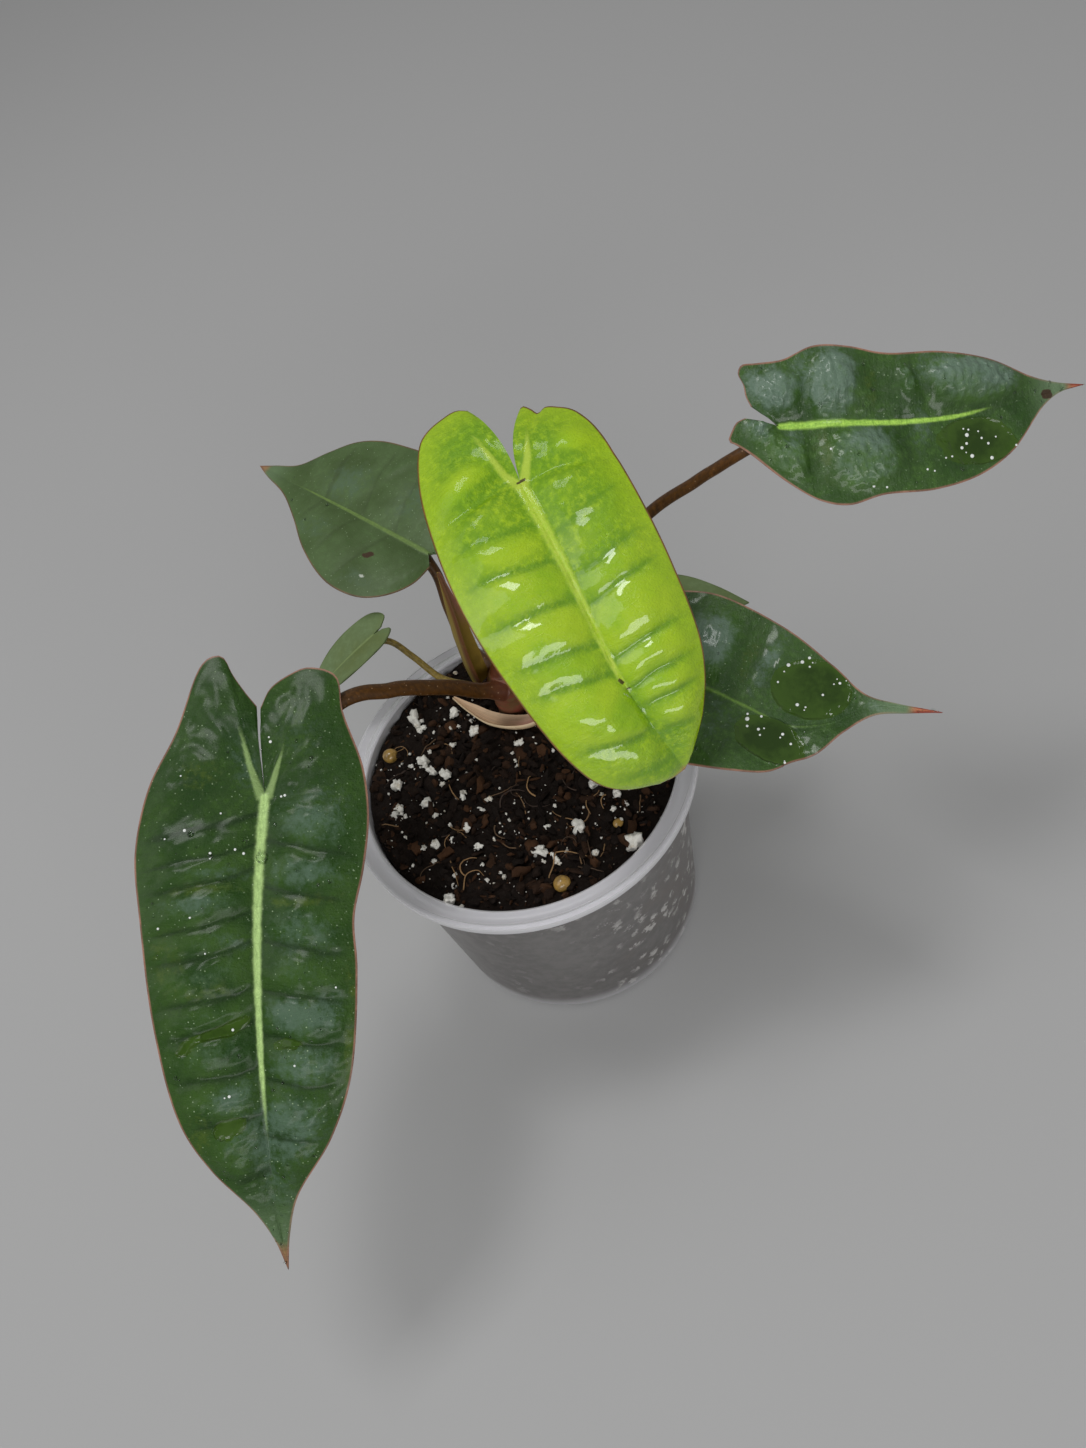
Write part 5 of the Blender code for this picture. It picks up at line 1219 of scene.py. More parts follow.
# Perlite grains that stand out: x, y and size across
LARGE_GRAINS = (
    (17.5, -33.0, 5.2), (7.0, -23.0, 3.8), (-4.0, -24.5, 4.0), (-28.0, -27.0, 3.4), (-20.0, 27.0, 4.6),
    (-7.0, 16.0, 3.2), (-10.0, 24.5, 3.2), (-25.0, 1.5, 3.0), (-18.0, 7.0, 3.0), (-21.0, 10.0, 2.8),
    (-22.0, 14.0, 3.0), (-30.5, 10.0, 3.0), (-32.0, 3.5, 2.4), (-33.5, 2.0, 2.6), (2.5, 6.0, 2.2),
    (-26.5, -11.0, 2.2), (-22.0, -12.0, 2.0), (-18.0, -10.0, 2.2), (-13.0, -7.5, 2.0),
    (-17.0, -16.5, 2.2), (19.0, -19.0, 2.2), (15.0, -14.0, 3.0), (-1.0, -29.0, 1.8),
    (-26.0, -30.0, 1.6))

# Feed prills: x, y, radius and how high they are for their width
PRILLS = ((-29.5, 19.5, 2.0, 0.93), (-2.0, -35.5, 2.1, 0.93), (16.0, -26.5, 1.3, 0.4))

# Curled roots that stand out on the soil
CURLS = (((-24.0, -26.0), (-22.0, -22.4), (-19.2, -22.8), (-18.2, -25.4)),
         ((-2.0, -26.5), (2.0, -28.2), (6.0, -31.5)),
         ((13.0, -15.0), (11.0, -18.5), (11.0, -21.4)))


def grain_material(settings):
    """Puffed white perlite."""
    paint = Paint("perlite")
    pits = paint.grain(paint.place(), 0.35, 4.0, 0.7)
    stain = paint.grain(paint.place(), 2.2, 2.0)
    tint = paint.value("tint")
    dirt = (stain.between(0.52, 0.75) * 0.55 + tint * 0.35).between(0.0, 1.0)
    colour = paint.mix(dirt, settings.perlite, (0.42, 0.33, 0.20))
    paint.bump(pits, 0.25, 0.8)
    return paint.finish(Base_Color=colour, Roughness=0.9, Specular_IOR_Level=0.2)


def prill_material(settings):
    """Waxy amber shell."""
    paint = Paint("feed_prill")
    cloud = paint.grain(paint.place(), 1.6, 2.0)
    colour = paint.mix(cloud.between(0.35, 0.7), settings.prill, tinted(settings.prill, 0.55))
    return paint.finish(Base_Color=colour, Roughness=0.28, Coat_Weight=0.4)


class PHILO_OT_grains(bpy.types.Operator):
    """Strew perlite grains and feed prills over the soil"""
    bl_idname = "philo.grains"
    bl_label = "Perlite and prills"

    def execute(self, context):
        settings = context.scene.philo_soil
        draw = np.random.default_rng(GRAIN_SEED)
        shapes = [rough_ball(2, 1.7 + 2.3 * k, (1.0, 0.8, 0.68), 0.75, 0.75) for k in range(7)]
        heap = Heap()

        def strew(x, y, radius, tint):
            shape, triangles = shapes[draw.integers(len(shapes))]
            body = shape @ turn_matrix(draw).T * radius
            level = soil_level(x, y) + 0.45 * radius + 0.25
            centre = np.array([x, y, min(level, POT_HEIGHT + 1.2 - radius)])
            heap.add(body + centre, triangles, tint)

        for x, y, size in LARGE_GRAINS:
            strew(x, y, size / 2.0, 0.2 * draw.random())
        for _ in range(settings.grain_count):
            x, y = inside_cup(draw, SOIL_RADIUS - 1.5)
            strew(x, y, 0.12 + 0.75 * draw.random() ** 4.0, draw.random() ** 2)
        heap.piece("perlite_grains", grain_material(settings), "soil")
        prills = Heap()
        for k, (x, y, radius, flat) in enumerate(PRILLS):
            shape, triangles = rough_ball(3, 5.0 + k, (1.0, 0.96, flat), 0.05, 1.5)
            centre = np.array([x, y, soil_level(x, y) + 0.55 * radius])
            prills.add(shape * radius + centre, triangles)
        prills.piece("feed_prills", prill_material(settings), "soil")
        return {"FINISHED"}


def tube(route, radii, sides):
    """Points, faces and shares along a closed tube that follows a route."""
    count = len(route)
    ahead = np.gradient(route, axis=0)
    ahead /= np.linalg.norm(ahead, axis=1)[:, None]
    side = unit(np.cross(ahead[0], (0.31, 0.17, 0.93)))
    rows = []
    points = []
    shares = []
    for i in range(count):
        side = unit(side - np.dot(side, ahead[i]) * ahead[i])
        up = np.cross(ahead[i], side)
        rows.append(len(points) + np.arange(sides))
        for k in range(sides):
            angle = 2.0 * math.pi * k / sides
            points.append(route[i] + radii[i] * (side * math.cos(angle) + up * math.sin(angle)))
            shares.append(i / (count - 1))
    rows = np.array(rows)
    rows = np.hstack([rows, rows[:, :1]])
    faces = grid_faces(rows, flip=True).tolist()
    for end, row in ((0, rows[0]), (-1, rows[-1])):
        centre = len(points)
        points.append(route[end] + (ahead[end] if end else -ahead[end]) * 0.35 * radii[end])
        shares.append(1.0 if end else 0.0)
        for k in range(sides):
            ring = [centre, int(row[k]), int(row[k + 1])]
            faces.append(ring if end else ring[::-1])
    return np.array(points), faces, np.array(shares)


def fibre_material():
    """Tan and brown roots and fibres."""
    paint = Paint("rootlets")
    tint = paint.value("tint")
    colour = paint.mix(tint.between(0.1, 1.0), (0.035, 0.018, 0.010), (0.30, 0.17, 0.07))
    return paint.finish(Base_Color=colour, Roughness=0.7)


class PHILO_OT_rootlets(bpy.types.Operator):
    """Lay fine fibres and rootlets over the soil"""
    bl_idname = "philo.rootlets"
    bl_label = "Rootlets"

    def execute(self, context):
        settings = context.scene.philo_soil
        draw = np.random.default_rng(ROOTLET_SEED)
        heap = Heap()

        def lay(route, thick, tint):
            route = along(smooth_curve(route, 6), np.linspace(0.0, 1.0, 24))
            body, rings, _ = tube(route, thick * np.linspace(1.0, 0.45, 24), FIBRE_SIDES)
            heap.add(body, rings, tint)

        for spots in CURLS:
            lay([(x, y, soil_level(x, y) + 1.0) for x, y in spots], 0.17, 1.0)
        for _ in range(settings.fibre_count):
            x, y = inside_cup(draw, SOIL_RADIUS - 4.0)
            heading = 2.0 * math.pi * draw.random()
            bend = draw.uniform(-0.28, 0.28)
            length = draw.uniform(3.5, 11.0)
            route = []
            for k in range(FIBRE_STEPS):
                if math.hypot(x, y) > SOIL_RADIUS - 1.5:
                    break
                arch = 0.9 * math.sin(math.pi * k / (FIBRE_STEPS - 1)) * min(1.0, length / 8.0)
                route.append((x, y, min(soil_level(x, y) + 0.45 + arch, POT_HEIGHT + 0.4)))
                heading += bend + draw.uniform(-0.12, 0.12)
                x += math.cos(heading) * length / FIBRE_STEPS
                y += math.sin(heading) * length / FIBRE_STEPS
            if len(route) >= 5:
                lay(route, draw.uniform(0.09, 0.24), draw.random())
        heap.piece("rootlets", fibre_material(), "soil")
        return {"FINISHED"}


def stalk_material(name, colour, fleck):
    """A leaf stalk: lengthwise streaks, pale flecks, redder towards its foot."""
    paint = Paint(name)
    place = paint.place()
    along_it = paint.value("along")
    streak = paint.grain(paint.place(1.0, 1.0, 0.35), 0.8, 4.0, 0.65)
    cloud = paint.grain(place, 6.0, 2.0)
    dark = tinted(colour, 0.55)
    light = tinted(colour, 1.45)
    base = paint.mix(streak.between(0.3, 0.75), dark, light)
    base = paint.mix(0.35 * cloud.between(0.35, 0.7), base, tuple(colour))
    base = paint.mix(along_it.between(0.0, 0.12, 0.6, 0.0), base, (0.13, 0.030, 0.020))
    base = paint.mix(along_it.between(0.93, 1.0, 0.0, 0.6), base, (0.16, 0.045, 0.02))
    flecks = paint.cells(place, 1.3).between(0.09, 0.15, 1.0, 0.0)
    base = paint.mix(0.75 * flecks * cloud.between(0.4, 0.55), base, fleck)
    paint.bump(streak, 0.10, 0.6)
    return paint.finish(Base_Color=base, Roughness=0.36 + 0.2 * streak, Coat_Weight=0.05,
                        Specular_IOR_Level=0.35)


class PHILO_OT_stalks(bpy.types.Operator):
    """Grow the seven leaf stalks"""
    bl_idname = "philo.stalks"
    bl_label = "Leaf stalks"

    def execute(self, context):
        settings = context.scene.philo_stalk
        looks = {
            "brown": stalk_material("brown_stalk", settings.brown, (0.42, 0.26, 0.14)),
            "olive": stalk_material("olive_stalk", settings.olive, (0.38, 0.32, 0.12)),
        }
        forms = {leaf.name: BladeForm(leaf) for leaf in LEAVES}
        for leaf, look, bearing, height, route, foot, neck in STALKS:
            form = forms[leaf]
            if bearing is None:
                start = np.array([*STEM_PLACE, height - 1.5])
            else:
                angle = math.radians(bearing)
                out = np.array([math.cos(angle), math.sin(angle), 0.0])
                start = np.array([*STEM_PLACE, height]) + (STEM_RADIUS - 1.6) * out
            place = np.array([STALK_FORWARD + 1.0])
            end = form.point(place, np.zeros(1), np.full(1, -neck - 0.3))[0]
            curve = smooth_curve([start, *route, end])
            run = float(np.linalg.norm(np.diff(curve, axis=0), axis=1).sum())
            places = np.linspace(0.0, 1.0, max(24, int(run / STALK_STEP)))
            radii = foot + (neck - foot) * places
            from_foot = places * run
            from_neck = (1.0 - places) * run
            radii = radii * (1.0 + 0.55 * np.exp(-(from_foot / 3.2) ** 2))
            radii = radii * (1.0 + 0.16 * np.exp(-(from_neck / 5.0) ** 2))
            centres = along(curve, places)
            wobble = np.stack([fractal(centres, 9.0, 2, s) for s in (1.0, 4.0, 7.0)], axis=-1)
            quiet = np.minimum(1.0, np.minimum(from_foot, from_neck) / 6.0)[:, None]
            centres = centres + 0.22 * wobble * quiet
            points, faces, shares = tube(centres, radii, STALK_SIDES)
            make_piece(f"{leaf}_petiole", points, faces, looks[look], f"{look}_stalk",
                       [f"{leaf}_stalk"], painted={"along": shares})
        return {"FINISHED"}


def stem_material(settings):
    """The short stem, ringed and reddish."""
    paint = Paint("stem")
    place = paint.place()
    rings = paint.grain(paint.place(0.2, 0.2, 1.0), 0.9, 3.0, 0.6)
    cloud = paint.grain(place, 3.0, 3.0)
    base = paint.mix(rings.between(0.35, 0.7), settings.stem, (0.22, 0.05, 0.03))
    base = paint.mix(0.5 * cloud.between(0.45, 0.7), base, (0.10, 0.10, 0.03))
    paint.bump(rings, 0.2, 0.8)
    return paint.finish(Base_Color=base, Roughness=0.5)


class PHILO_OT_stem(bpy.types.Operator):
    """Build the short stem that every stalk grows from"""
    bl_idname = "philo.stem"
    bl_label = "Stem"

    def execute(self, context):
        profile = [(0.0, 54.0), (2.6, 54.0), (4.0, 58.0)]
        for k, height in enumerate(np.linspace(60.0, STEM_TOP - 4.0, 34)):
            ring = 0.26 * math.exp(-((k % 6) - 3) ** 2 / 1.2)
            profile.append((STEM_RADIUS - 0.25 + ring, height))
        profile += [(3.9, STEM_TOP - 2.4), (2.9, STEM_TOP - 0.9), (1.6, STEM_TOP - 0.2), (0.0, STEM_TOP)]
        points, faces = turned_body(profile, STEM_SIDES)
        points = points + np.array([*STEM_PLACE, 0.0])
        make_piece("stem_rings", points, faces, stem_material(context.scene.philo_stalk), "stem",
                   ["stem"])
        return {"FINISHED"}


def sheath_material(name, outside, inside, strip, edge, far, strip_from):
    """A papery sheath: streaks lengthwise, another colour inside and along each edge.

    Far says how much of the inside's own colour is left at the far end, and strip_from is the
    share of the length from which the strip shows.
    """
    paint = Paint(name)
    across, inner, along_it = (paint.value(key) for key in ("across", "inner", "along"))
    spot = paint.node("ShaderNodeCombineXYZ", None, across * 9.0, along_it * 2.0, 0.0)
    streak = paint.grain(spot, 0.9, 4.0, 0.6)
    cloud = paint.grain(paint.place(), 2.5, 3.0)
    base = paint.mix(streak.between(0.3, 0.7), outside, tinted(outside, 0.62))
    base = paint.mix(inner * along_it.between(0.1, 0.5, 0.8, 0.8 * far), base, inside)
    shown = along_it.between(strip_from, strip_from + 0.3)
    base = paint.mix(shown * across.between(0.35, 0.9, 0.0, 0.8), base, strip)
    base = paint.mix(across.between(-0.95, -0.7, 0.9, 0.0), base, edge)
    base = paint.mix(0.4 * cloud.between(0.55, 0.75), base, tinted(outside, 0.6))
    paint.bump(streak, 0.12, 0.6)
    return paint.finish(Base_Color=base, Roughness=0.48, Specular_IOR_Level=0.25)


class PHILO_OT_sheaths(bpy.types.Operator):
    """Curl the standing and the fallen sheath"""
    bl_idname = "philo.sheaths"
    bl_label = "Sheaths"

    def execute(self, context):
        settings = context.scene.philo_stalk
        looks = {
            "sheath_standing": ("olive_sheath", sheath_material(
                "olive_sheath", settings.sheath, (0.36, 0.23, 0.035), (0.42, 0.17, 0.14),
                (0.10, 0.03, 0.012), 1.0, 0.45)),
            "sheath_fallen": ("cream_sheath", sheath_material(
                "cream_sheath", settings.peeled, (0.45, 0.18, 0.15), (0.66, 0.48, 0.32),
                (0.80, 0.62, 0.40), 0.15, -1.0)),
        }
        places = np.linspace(0.0, 1.0, SHEATH_ROWS + 1)
        share = np.linspace(-1.0, 1.0, SHEATH_COLUMNS + 1)
        index = np.arange(places.size * share.size).reshape(places.size, share.size)
        border = [*index[0, :], *index[1:, -1], *index[-1, :-1][::-1], *index[1:-1, 0][::-1]]
        faces = np.vstack([grid_faces(index, flip=True), grid_faces(index + index.size, flip=False),
                           edge_wall(border, index.size)])
        painted = {"across": np.tile(share, 2 * places.size),
                   "along": np.tile(np.repeat(places, share.size), 2),
                   "inner": np.repeat([0.0, 1.0], index.size)}
        for name, (route, widths, hollow, curl) in SHEATHS.items():
            centres = along(smooth_curve(route), places)
            ahead = np.gradient(centres, axis=0)
            half = np.interp(places, np.linspace(0.0, 1.0, len(widths)), widths)
            hollow = unit(hollow)
            points = []
            for layer in (0.0, SHEATH_THICKNESS):
                for i, centre in enumerate(centres):
                    forward = unit(ahead[i])
                    open_side = unit(hollow - np.dot(hollow, forward) * forward)
                    across = np.cross(forward, open_side)
                    ripple = 0.16 * np.sin(5.0 * share + 9.0 * places[i])
                    depth = curl * half[i] * (2.0 * share ** 2 - 1.0) + layer + 0.18 + ripple * 0.5
                    wide = share * (half[i] - 0.2 * layer)
                    points.append(centre + wide[:, None] * across + depth[:, None] * open_side)
            slot, material = looks[name]
            make_piece(f"{name}_strip", np.vstack(points), faces, material, slot, [name],
                       painted=painted, sharp=70.0)
        return {"FINISHED"}


@dataclass
class Look:
    """Colours and finish of one kind of leaf skin.

    The colour is the name of a setting, and rib_low is the ribs' darker tint. A rim of None is
    the margin's setting. Haze is the colour of the painted sheen, a blue-grey reflection painted
    on the crests, and vein_shade is the colour of the painted shade in the sunken veins. From vein
    to valley_shade and in dull a number says how strongly a thing shows: painted shade in the
    veins, lobe ribs, painted sheen, specks that are partly painted glints, paler tip, lighter outer
    part, painted shade in the valleys, dull lobes. Grain, wrinkle and folds are the shares of the
    relief, and bump is its depth.
    """
    slot: str
    colour: str
    light: tuple
    deep: tuple
    under: tuple
    rib: tuple
    rib_low: tuple
    vein_shade: tuple
    vein: float
    basal: float = 0.4
    sheen: float = 0.0
    specks: float = 0.0
    fade: float = 0.0
    outer: float = 0.2
    valley_shade: float = 0.4
    dull: float = 0.0
    rim: tuple = None
    haze: tuple = (0.098, 0.165, 0.11)
    rough: float = 0.5
    shine: float = 0.3
    coat: float = 0.0
    coat_rough: float = 0.3
    bump: float = 0.1
    grain: float = 1.0
    wrinkle: float = 1.0
    folds: float = 1.0


LOOKS = {
    "new": Look(
        slot="new_leaf", colour="new_green", light=(0.42, 0.62, 0.012), deep=(0.15, 0.33, 0.003),
        under=(0.3, 0.46, 0.06), rib=(0.52, 0.68, 0.07), rib_low=(0.42, 0.64, 0.03),
        vein_shade=(0.13, 0.3, 0.003), vein=0.7, basal=0.8, specks=0.12, outer=0.6, valley_shade=0.95,
        dull=1.0, rim=(0.22, 0.07, 0.02), haze=None, rough=0.24, shine=0.28, coat=0.95,
        coat_rough=0.07, bump=0.08, grain=3.2, wrinkle=3.4, folds=5.0),
    "dark": Look(
        slot="dark_leaf", colour="dark_green", light=(0.044, 0.105, 0.014),
        deep=(0.014, 0.042, 0.006), under=(0.13, 0.2, 0.07), rib=(0.57, 0.81, 0.3),
        rib_low=(0.42, 0.62, 0.22), vein_shade=(0.01, 0.032, 0.005), vein=0.75, basal=0.42,
        sheen=0.8, specks=0.9, fade=0.4, outer=0.25, valley_shade=0.6, rough=0.42, shine=0.14, coat=0.21,
        coat_rough=0.2, bump=0.26, grain=1.2, wrinkle=1.6, folds=3.0),
    "deep": Look(
        slot="dark_leaf", colour="deep_green", light=(0.07, 0.155, 0.028),
        deep=(0.012, 0.04, 0.005), under=(0.13, 0.2, 0.07), rib=(0.52, 0.84, 0.13),
        rib_low=(0.32, 0.6, 0.08), vein_shade=(0.012, 0.04, 0.005), vein=0.5, sheen=0.85,
        specks=0.6, fade=0.8, outer=0.15, valley_shade=0.6, haze=(0.145, 0.22, 0.165), rough=0.36,
        shine=0.28, coat=0.35, coat_rough=0.14, bump=0.21, grain=1.2, wrinkle=1.3, folds=2.4),
    "matt": Look(
        slot="matte_leaf", colour="matt_green", light=(0.095, 0.165, 0.055),
        deep=(0.05, 0.076, 0.02), under=(0.13, 0.19, 0.07), rib=(0.17, 0.27, 0.06),
        rib_low=(0.12, 0.2, 0.045), vein_shade=(0.036, 0.06, 0.015), vein=0.4, sheen=0.45,
        specks=0.6, fade=0.4, rim=(0.2, 0.12, 0.06), coat=0.05, bump=0.07, wrinkle=0.5, folds=0.8),
    "pale": Look(
        slot="pale_leaf", colour="pale_green", light=(0.19, 0.27, 0.12), deep=(0.09, 0.13, 0.035),
        under=(0.2, 0.28, 0.12), rib=(0.24, 0.32, 0.12), rib_low=(0.2, 0.27, 0.1),
        vein_shade=(0.09, 0.13, 0.04), vein=0.3, rim=(0.16, 0.22, 0.08), bump=0.04, wrinkle=0.3,
        folds=0.5),
}


def dew_material():
    """Clear water."""
    paint = Paint("dew")
    return paint.finish(Base_Color=(0.9, 0.95, 0.9), Roughness=0.03, Transmission_Weight=1.0, IOR=1.33)


def bead_material():
    """White beads: painted glints of light on dew and pools, and crumbs floating on them."""
    paint = Paint("white_beads")
    return paint.finish(Base_Color=(0.85, 0.88, 0.85), Roughness=0.25)


def leaf_material(name, look, settings):
    """Leaf skin: mottled green, paler ribs, thin margin, coloured tip and a paler underside."""
    paint = Paint(name)
    flat = paint.blade_place()
    base = getattr(settings, look.colour)
    cloud = paint.grain(flat, 11.0, 3.0, 0.5)
    mottle = paint.grain(flat, 1.6, 4.0, 0.65)
    fine = paint.grain(flat, 0.45, 2.0, 0.6)
    crest, vein, edge, under = (paint.value(key) for key in ("crest", "vein", "edge", "under"))
    colour = paint.mix(cloud.between(0.32, 0.66), base, look.light)
    colour = paint.mix(0.45 * mottle.between(0.45, 0.75), colour, look.light)
    # Painted shade: darker green in the valleys between the quilts, where the relief lies in shade
    colour = paint.mix(look.valley_shade * crest.between(0.0, 0.9, 1.0, 0.0) * mottle.between(0.25, 0.6),
                       colour, look.deep)
    colour = paint.mix(edge.between(0.5, 9.0, look.outer, 0.0), colour, look.light)
    # Painted reflection: a blue-grey sheen painted on the quilts' crests and in the sheen patches, for the
    # soft lights mirrored in the glossy skin
    if look.sheen:
        bloom = paint.value("bloom")
        patchy = paint.grain(flat, 3.6, 6.0, 0.72).between(0.34, 0.62, 0.25, 1.1)
        painted_sheen = 0.4 * crest.between(0.25, 1.3) + bloom.most(0.0) * patchy + 1.4 * (mottle - 0.5)
        colour = paint.mix(look.sheen * painted_sheen.between(0.05, 1.0), colour, look.haze)
        # Olive tone, the leaf's own colour: where the sheen patches go below 0, and at random
        olive = (1.6 * (mottle - 0.5) - bloom * patchy).between(0.1, 0.9)
        colour = paint.mix(0.7 * olive, colour, (0.075, 0.125, 0.010))
    # Pale specks: partly real pale flecks, partly painted glints of fine dew
    specks = paint.cells(flat, 1.05).between(0.06, 0.2, 1.0, 0.0) * fine.between(0.45, 0.6)
    colour = paint.mix(look.specks * specks, colour, (0.38, 0.50, 0.30))
    # Painted shade: darker lines along the sunken veins between the quilts
    colour = paint.mix(look.vein * vein * edge.between(0.5, 6.0), colour, look.vein_shade)
    rough_edge = paint.grain(flat, 0.7, 3.0, 0.7)
    streak = paint.grain(paint.blade_place(0.25, 1.0), 0.5, 3.0, 0.6)
    rib = (paint.value("rib") + 0.35 * (rough_edge - 0.5)).between(0.08, 0.9)
    rib = rib * rib * mottle.between(0.3, 0.6, 0.8, 1.0)
    rib_colour = paint.mix((0.5 * rough_edge + 0.5 * streak).between(0.38, 0.62), look.rib,
                           look.rib_low)
    colour = paint.mix(rib, colour, rib_colour)
    basal = (paint.value("basal") + 0.5 * (rough_edge - 0.5)).between(0.15, 0.95)
    colour = paint.mix(look.basal * basal, colour, look.rib)
    depth = paint.value("wet")
    wet = depth.between(-0.02, 0.03)
    pool = paint.mix(depth.between(0.05, 0.9), (0.040, 0.092, 0.007), (0.020, 0.050, 0.003))
    # Painted reflection: lighter green patches on the pools' water
    pool = paint.mix(0.6 * (0.7 * cloud + 0.3 * mottle).between(0.42, 0.6), pool, (0.052, 0.108, 0.012))
    colour = paint.mix(wet, colour, pool)
    below = paint.mix(cloud.between(0.3, 0.7), look.under, tinted(look.under, 0.8))
    colour = paint.mix(under, colour, below)
    colour = paint.mix(under * paint.value("rib").between(0.2, 0.8), colour,
                       tinted(look.under, 1.35))
    rim = look.rim or settings.margin
    patch = paint.grain(flat, 5.0, 2.0)
    rim_colour = paint.mix(patch.between(0.35, 0.65), rim, tinted(rim, 0.6))
    colour = paint.mix(edge.between(0.15, 0.55, 0.95, 0.0), colour, rim_colour)
    if look.fade:
        colour = paint.mix(look.fade * paint.value("pale"), colour, (0.18, 0.27, 0.15))
    mark = (paint.value("spot") + 0.35 * (rough_edge - 0.5)) * (1.0 - under)
    colour = paint.mix(mark.between(0.35, 0.6, 0.0, 0.9), colour, (0.052, 0.017, 0.008))
    # Painted highlight: the white marks are glints on leaf_a's cracked midrib and on the rim of leaf_d's
    # pool; on leaf_e the white mark is a real scar
    colour = paint.mix(mark.between(-0.6, -0.35, 0.8, 0.0), colour, (0.60, 0.64, 0.56))
    if look.slot != "pale_leaf":
        tip = paint.mix(edge.between(0.1, 0.8), (0.30, 0.05, 0.025), settings.tip)
        colour = paint.mix(paint.value("tip"), colour, tip)
    lower = paint.value("way").between(6.0, 27.0, 0.0, 1.0)
    dull = look.dull * (1.0 - lower)
    rough = look.rough + 0.3 * (mottle - 0.5) + 0.15 * under + 0.26 * dull
    rough = rough * (1.0 - wet * 0.85)
    wrinkle = paint.grain(paint.blade_place(1.0, 0.22), 0.8, 3.0, 0.6)
    folds = paint.grain(paint.blade_place(1.0, 0.45), 2.2, 3.0, 0.6)
    skin = look.grain * fine + 0.8 * mottle + look.wrinkle * wrinkle + look.folds * folds
    skin = skin * (1.0 - wet)
    meniscus = wet * depth.between(0.0, 0.4, 3.0, 0.0)
    paint.bump(skin + meniscus, look.bump, 0.8)
    coat = look.coat * (1.0 - 0.8 * dull) if look.dull else look.coat
    return paint.finish(Base_Color=colour, Roughness=rough, Coat_Weight=coat,
                        Coat_Roughness=look.coat_rough, Specular_IOR_Level=look.shine)


class PHILO_OT_leaves(bpy.types.Operator):
    """Shape and paint the seven leaf blades"""
    bl_idname = "philo.leaves"
    bl_label = "Leaf blades"

    def execute(self, context):
        settings = context.scene.philo_leaf
        thickness = settings.thickness / MM
        draw = np.random.default_rng(DROP_SEED)
        dew = dew_material()
        bead = bead_material()
        ball, triangles = ico_ball(2)
        materials = {}
        for leaf in LEAVES:
            look = LOOKS[leaf.look]
            if leaf.look not in materials:
                materials[leaf.look] = leaf_material(f"{leaf.look}_leaf_skin", look, settings)
            form = BladeForm(leaf)
            halves = blade_surface(form)
            points, faces, painted = blade_data(form, halves, thickness)
            make_piece(f"{leaf.name}_skin", points, faces, materials[leaf.look], look.slot,
                       [f"{leaf.name}_blade"], painted=painted, sharp=75.0)
            if not leaf.drops:
                continue
            drops, beads, large, white = drop_places(form, halves, draw)
            small = [0.14 + 0.36 * draw.random() ** 3.0 for _ in drops]
            crumbs = [0.15 + 0.27 * draw.random() ** 2.5 for _ in beads]
            lenses, glint_pearls = ([radius for _, _, radius in table]
                              for table in (leaf.lenses, leaf.glint_pearls))
            # White beads: painted highlights for the glints on dew drops and pools, and white crumbs
            # floating on the pools
            for places, radii, material, kind in ((drops + large, small + lenses, dew, "dew"),
                                                  (beads + white, crumbs + glint_pearls, bead, "beads")):
                heap = Heap()
                for (spot, up), radius in zip(places, radii):
                    flat = ball * radius
                    flat = flat - 0.5 * (flat @ up)[:, None] * up
                    heap.add(flat + spot + 0.2 * radius * up, triangles)
                if places:
                    heap.piece(f"{leaf.name}_{kind}", material, look.slot)
        return {"FINISHED"}


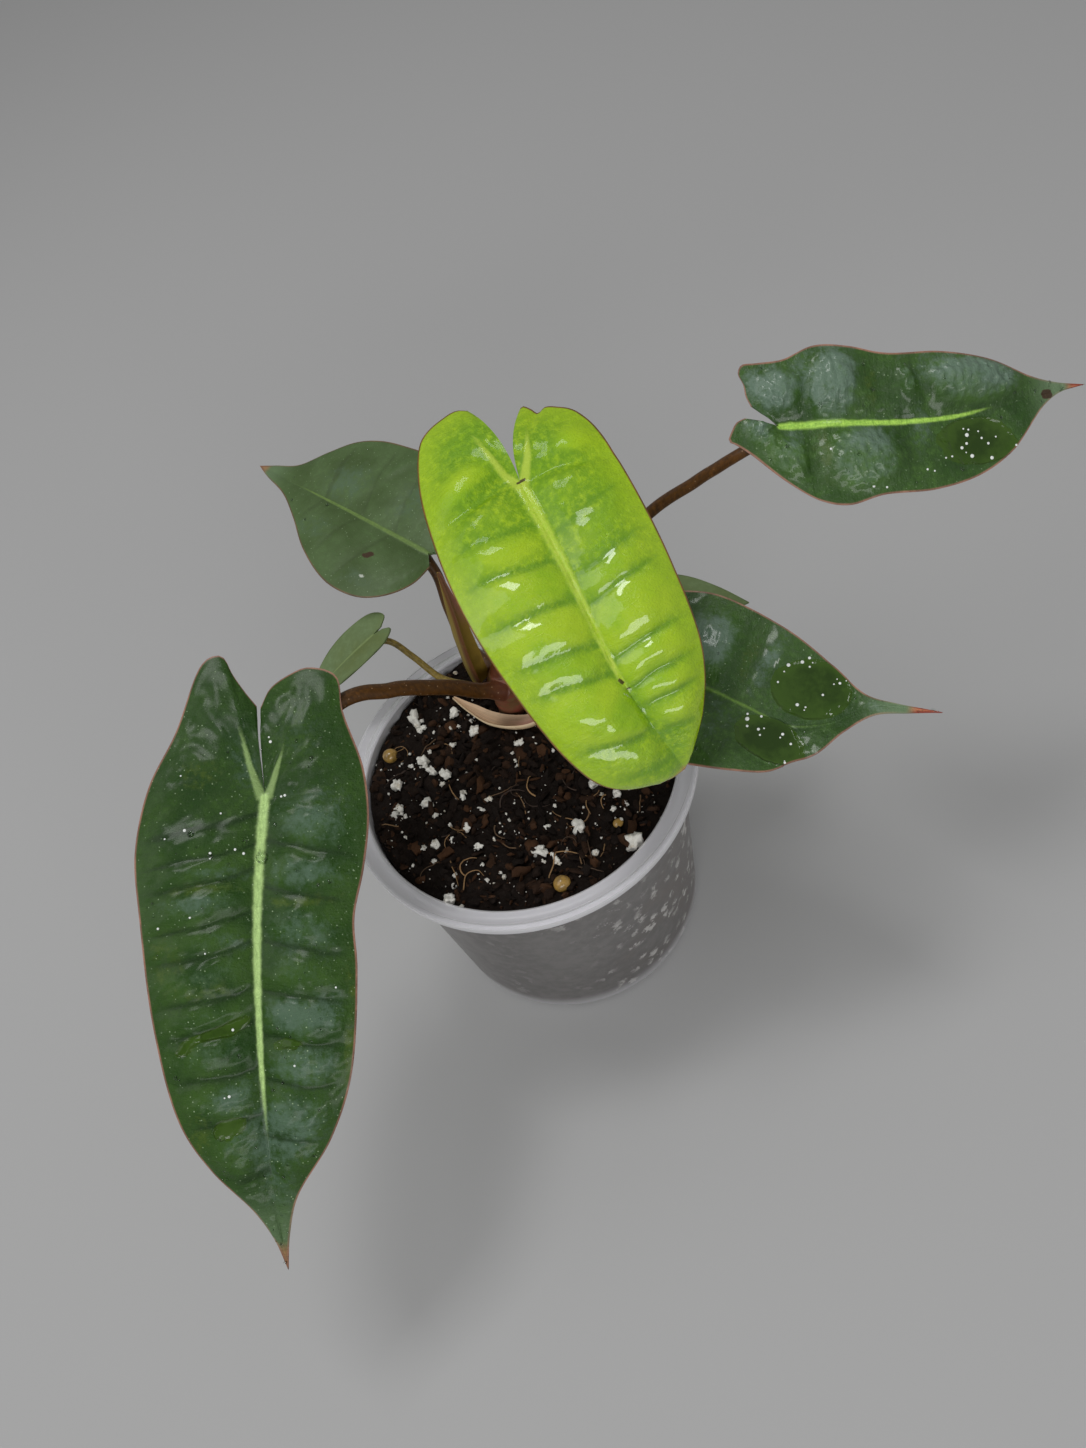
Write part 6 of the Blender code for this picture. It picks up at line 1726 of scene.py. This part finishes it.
class PHILO_OT_stage(bpy.types.Operator):
    """Set the floor, the soft lights and the camera"""
    bl_idname = "philo.stage"
    bl_label = "Stage"

    def execute(self, context):
        settings = context.scene.philo_stage
        scene = context.scene
        paint = Paint("floor")
        material = paint.finish(Base_Color=settings.floor, Roughness=0.9, Specular_IOR_Level=0.1)
        mesh = bpy.data.meshes.new("floor")
        corners = [(x * FLOOR_REACH, y * FLOOR_REACH, 0.0) for x, y in ((-1, -1), (1, -1), (1, 1), (-1, 1))]
        mesh.from_pydata(corners, [], [(0, 1, 2, 3)])
        mesh.materials.append(material)
        floor = bpy.data.objects.new("floor", mesh)
        scene.collection.objects.link(floor)
        for name, place, target, width, height, power in LIGHTS:
            light = bpy.data.lights.new(name, "AREA")
            light.shape = "RECTANGLE"
            light.size = width
            light.size_y = height
            light.energy = getattr(settings, power)
            lamp = bpy.data.objects.new(name, light)
            lamp.location = place
            towards = Vector(target) - Vector(place)
            lamp.rotation_euler = towards.to_track_quat("-Z", "Y").to_euler()
            scene.collection.objects.link(lamp)
        world = bpy.data.worlds.new("surround")
        world.use_nodes = True
        glow = world.node_tree.nodes["Background"].inputs
        glow["Color"].default_value = (1.0, 1.0, 1.0, 1.0)
        glow["Strength"].default_value = settings.sky
        scene.world = world
        lens = bpy.data.cameras.new("camera")
        lens.sensor_width = CAMERA_SENSOR
        lens.lens = CAMERA_LENS
        lens.clip_start = 0.01
        lens.clip_end = 20.0
        camera = bpy.data.objects.new("camera", lens)
        turn = Matrix(CAMERA_AXES).transposed()
        camera.matrix_world = Matrix.Translation(CAMERA_PLACE) @ turn.to_4x4()
        scene.collection.objects.link(camera)
        scene.camera = camera
        scene.view_settings.view_transform = "Standard"
        return {"FINISHED"}


OPERATORS = (PHILO_OT_cup, PHILO_OT_soil, PHILO_OT_grains, PHILO_OT_rootlets, PHILO_OT_stem,
             PHILO_OT_stalks, PHILO_OT_sheaths, PHILO_OT_leaves, PHILO_OT_stage)
SETTINGS = (("philo_cup", CupSettings), ("philo_soil", SoilSettings), ("philo_leaf", LeafSettings),
            ("philo_stalk", StalkSettings), ("philo_stage", StageSettings))


class PHILO_PT_panel(bpy.types.Panel):
    """The plant's pieces and their settings"""
    bl_idname = "PHILO_PT_panel"
    bl_label = "Philodendron"
    bl_space_type = "VIEW_3D"
    bl_region_type = "UI"
    bl_category = "Philodendron"

    def draw(self, context):
        for operator in OPERATORS:
            self.layout.operator(operator.bl_idname)
        for name, group in SETTINGS:
            box = self.layout.box()
            settings = getattr(context.scene, name)
            for key in group.__annotations__:
                box.prop(settings, key)


def register():
    """Add the settings, the operators and the panel."""
    for name, group in SETTINGS:
        bpy.utils.register_class(group)
        setattr(bpy.types.Scene, name, PointerProperty(type=group))
    for operator in OPERATORS:
        bpy.utils.register_class(operator)
    bpy.utils.register_class(PHILO_PT_panel)


def unregister():
    """Take them away again."""
    bpy.utils.unregister_class(PHILO_PT_panel)
    for operator in reversed(OPERATORS):
        bpy.utils.unregister_class(operator)
    for name, group in reversed(SETTINGS):
        delattr(bpy.types.Scene, name)
        bpy.utils.unregister_class(group)


def main():
    """Build every piece in order."""
    register()
    bpy.ops.philo.cup()
    bpy.ops.philo.soil()
    bpy.ops.philo.grains()
    bpy.ops.philo.rootlets()
    bpy.ops.philo.stem()
    bpy.ops.philo.stalks()
    bpy.ops.philo.sheaths()
    bpy.ops.philo.leaves()
    bpy.ops.philo.stage()


if __name__ == "__main__":
    main()
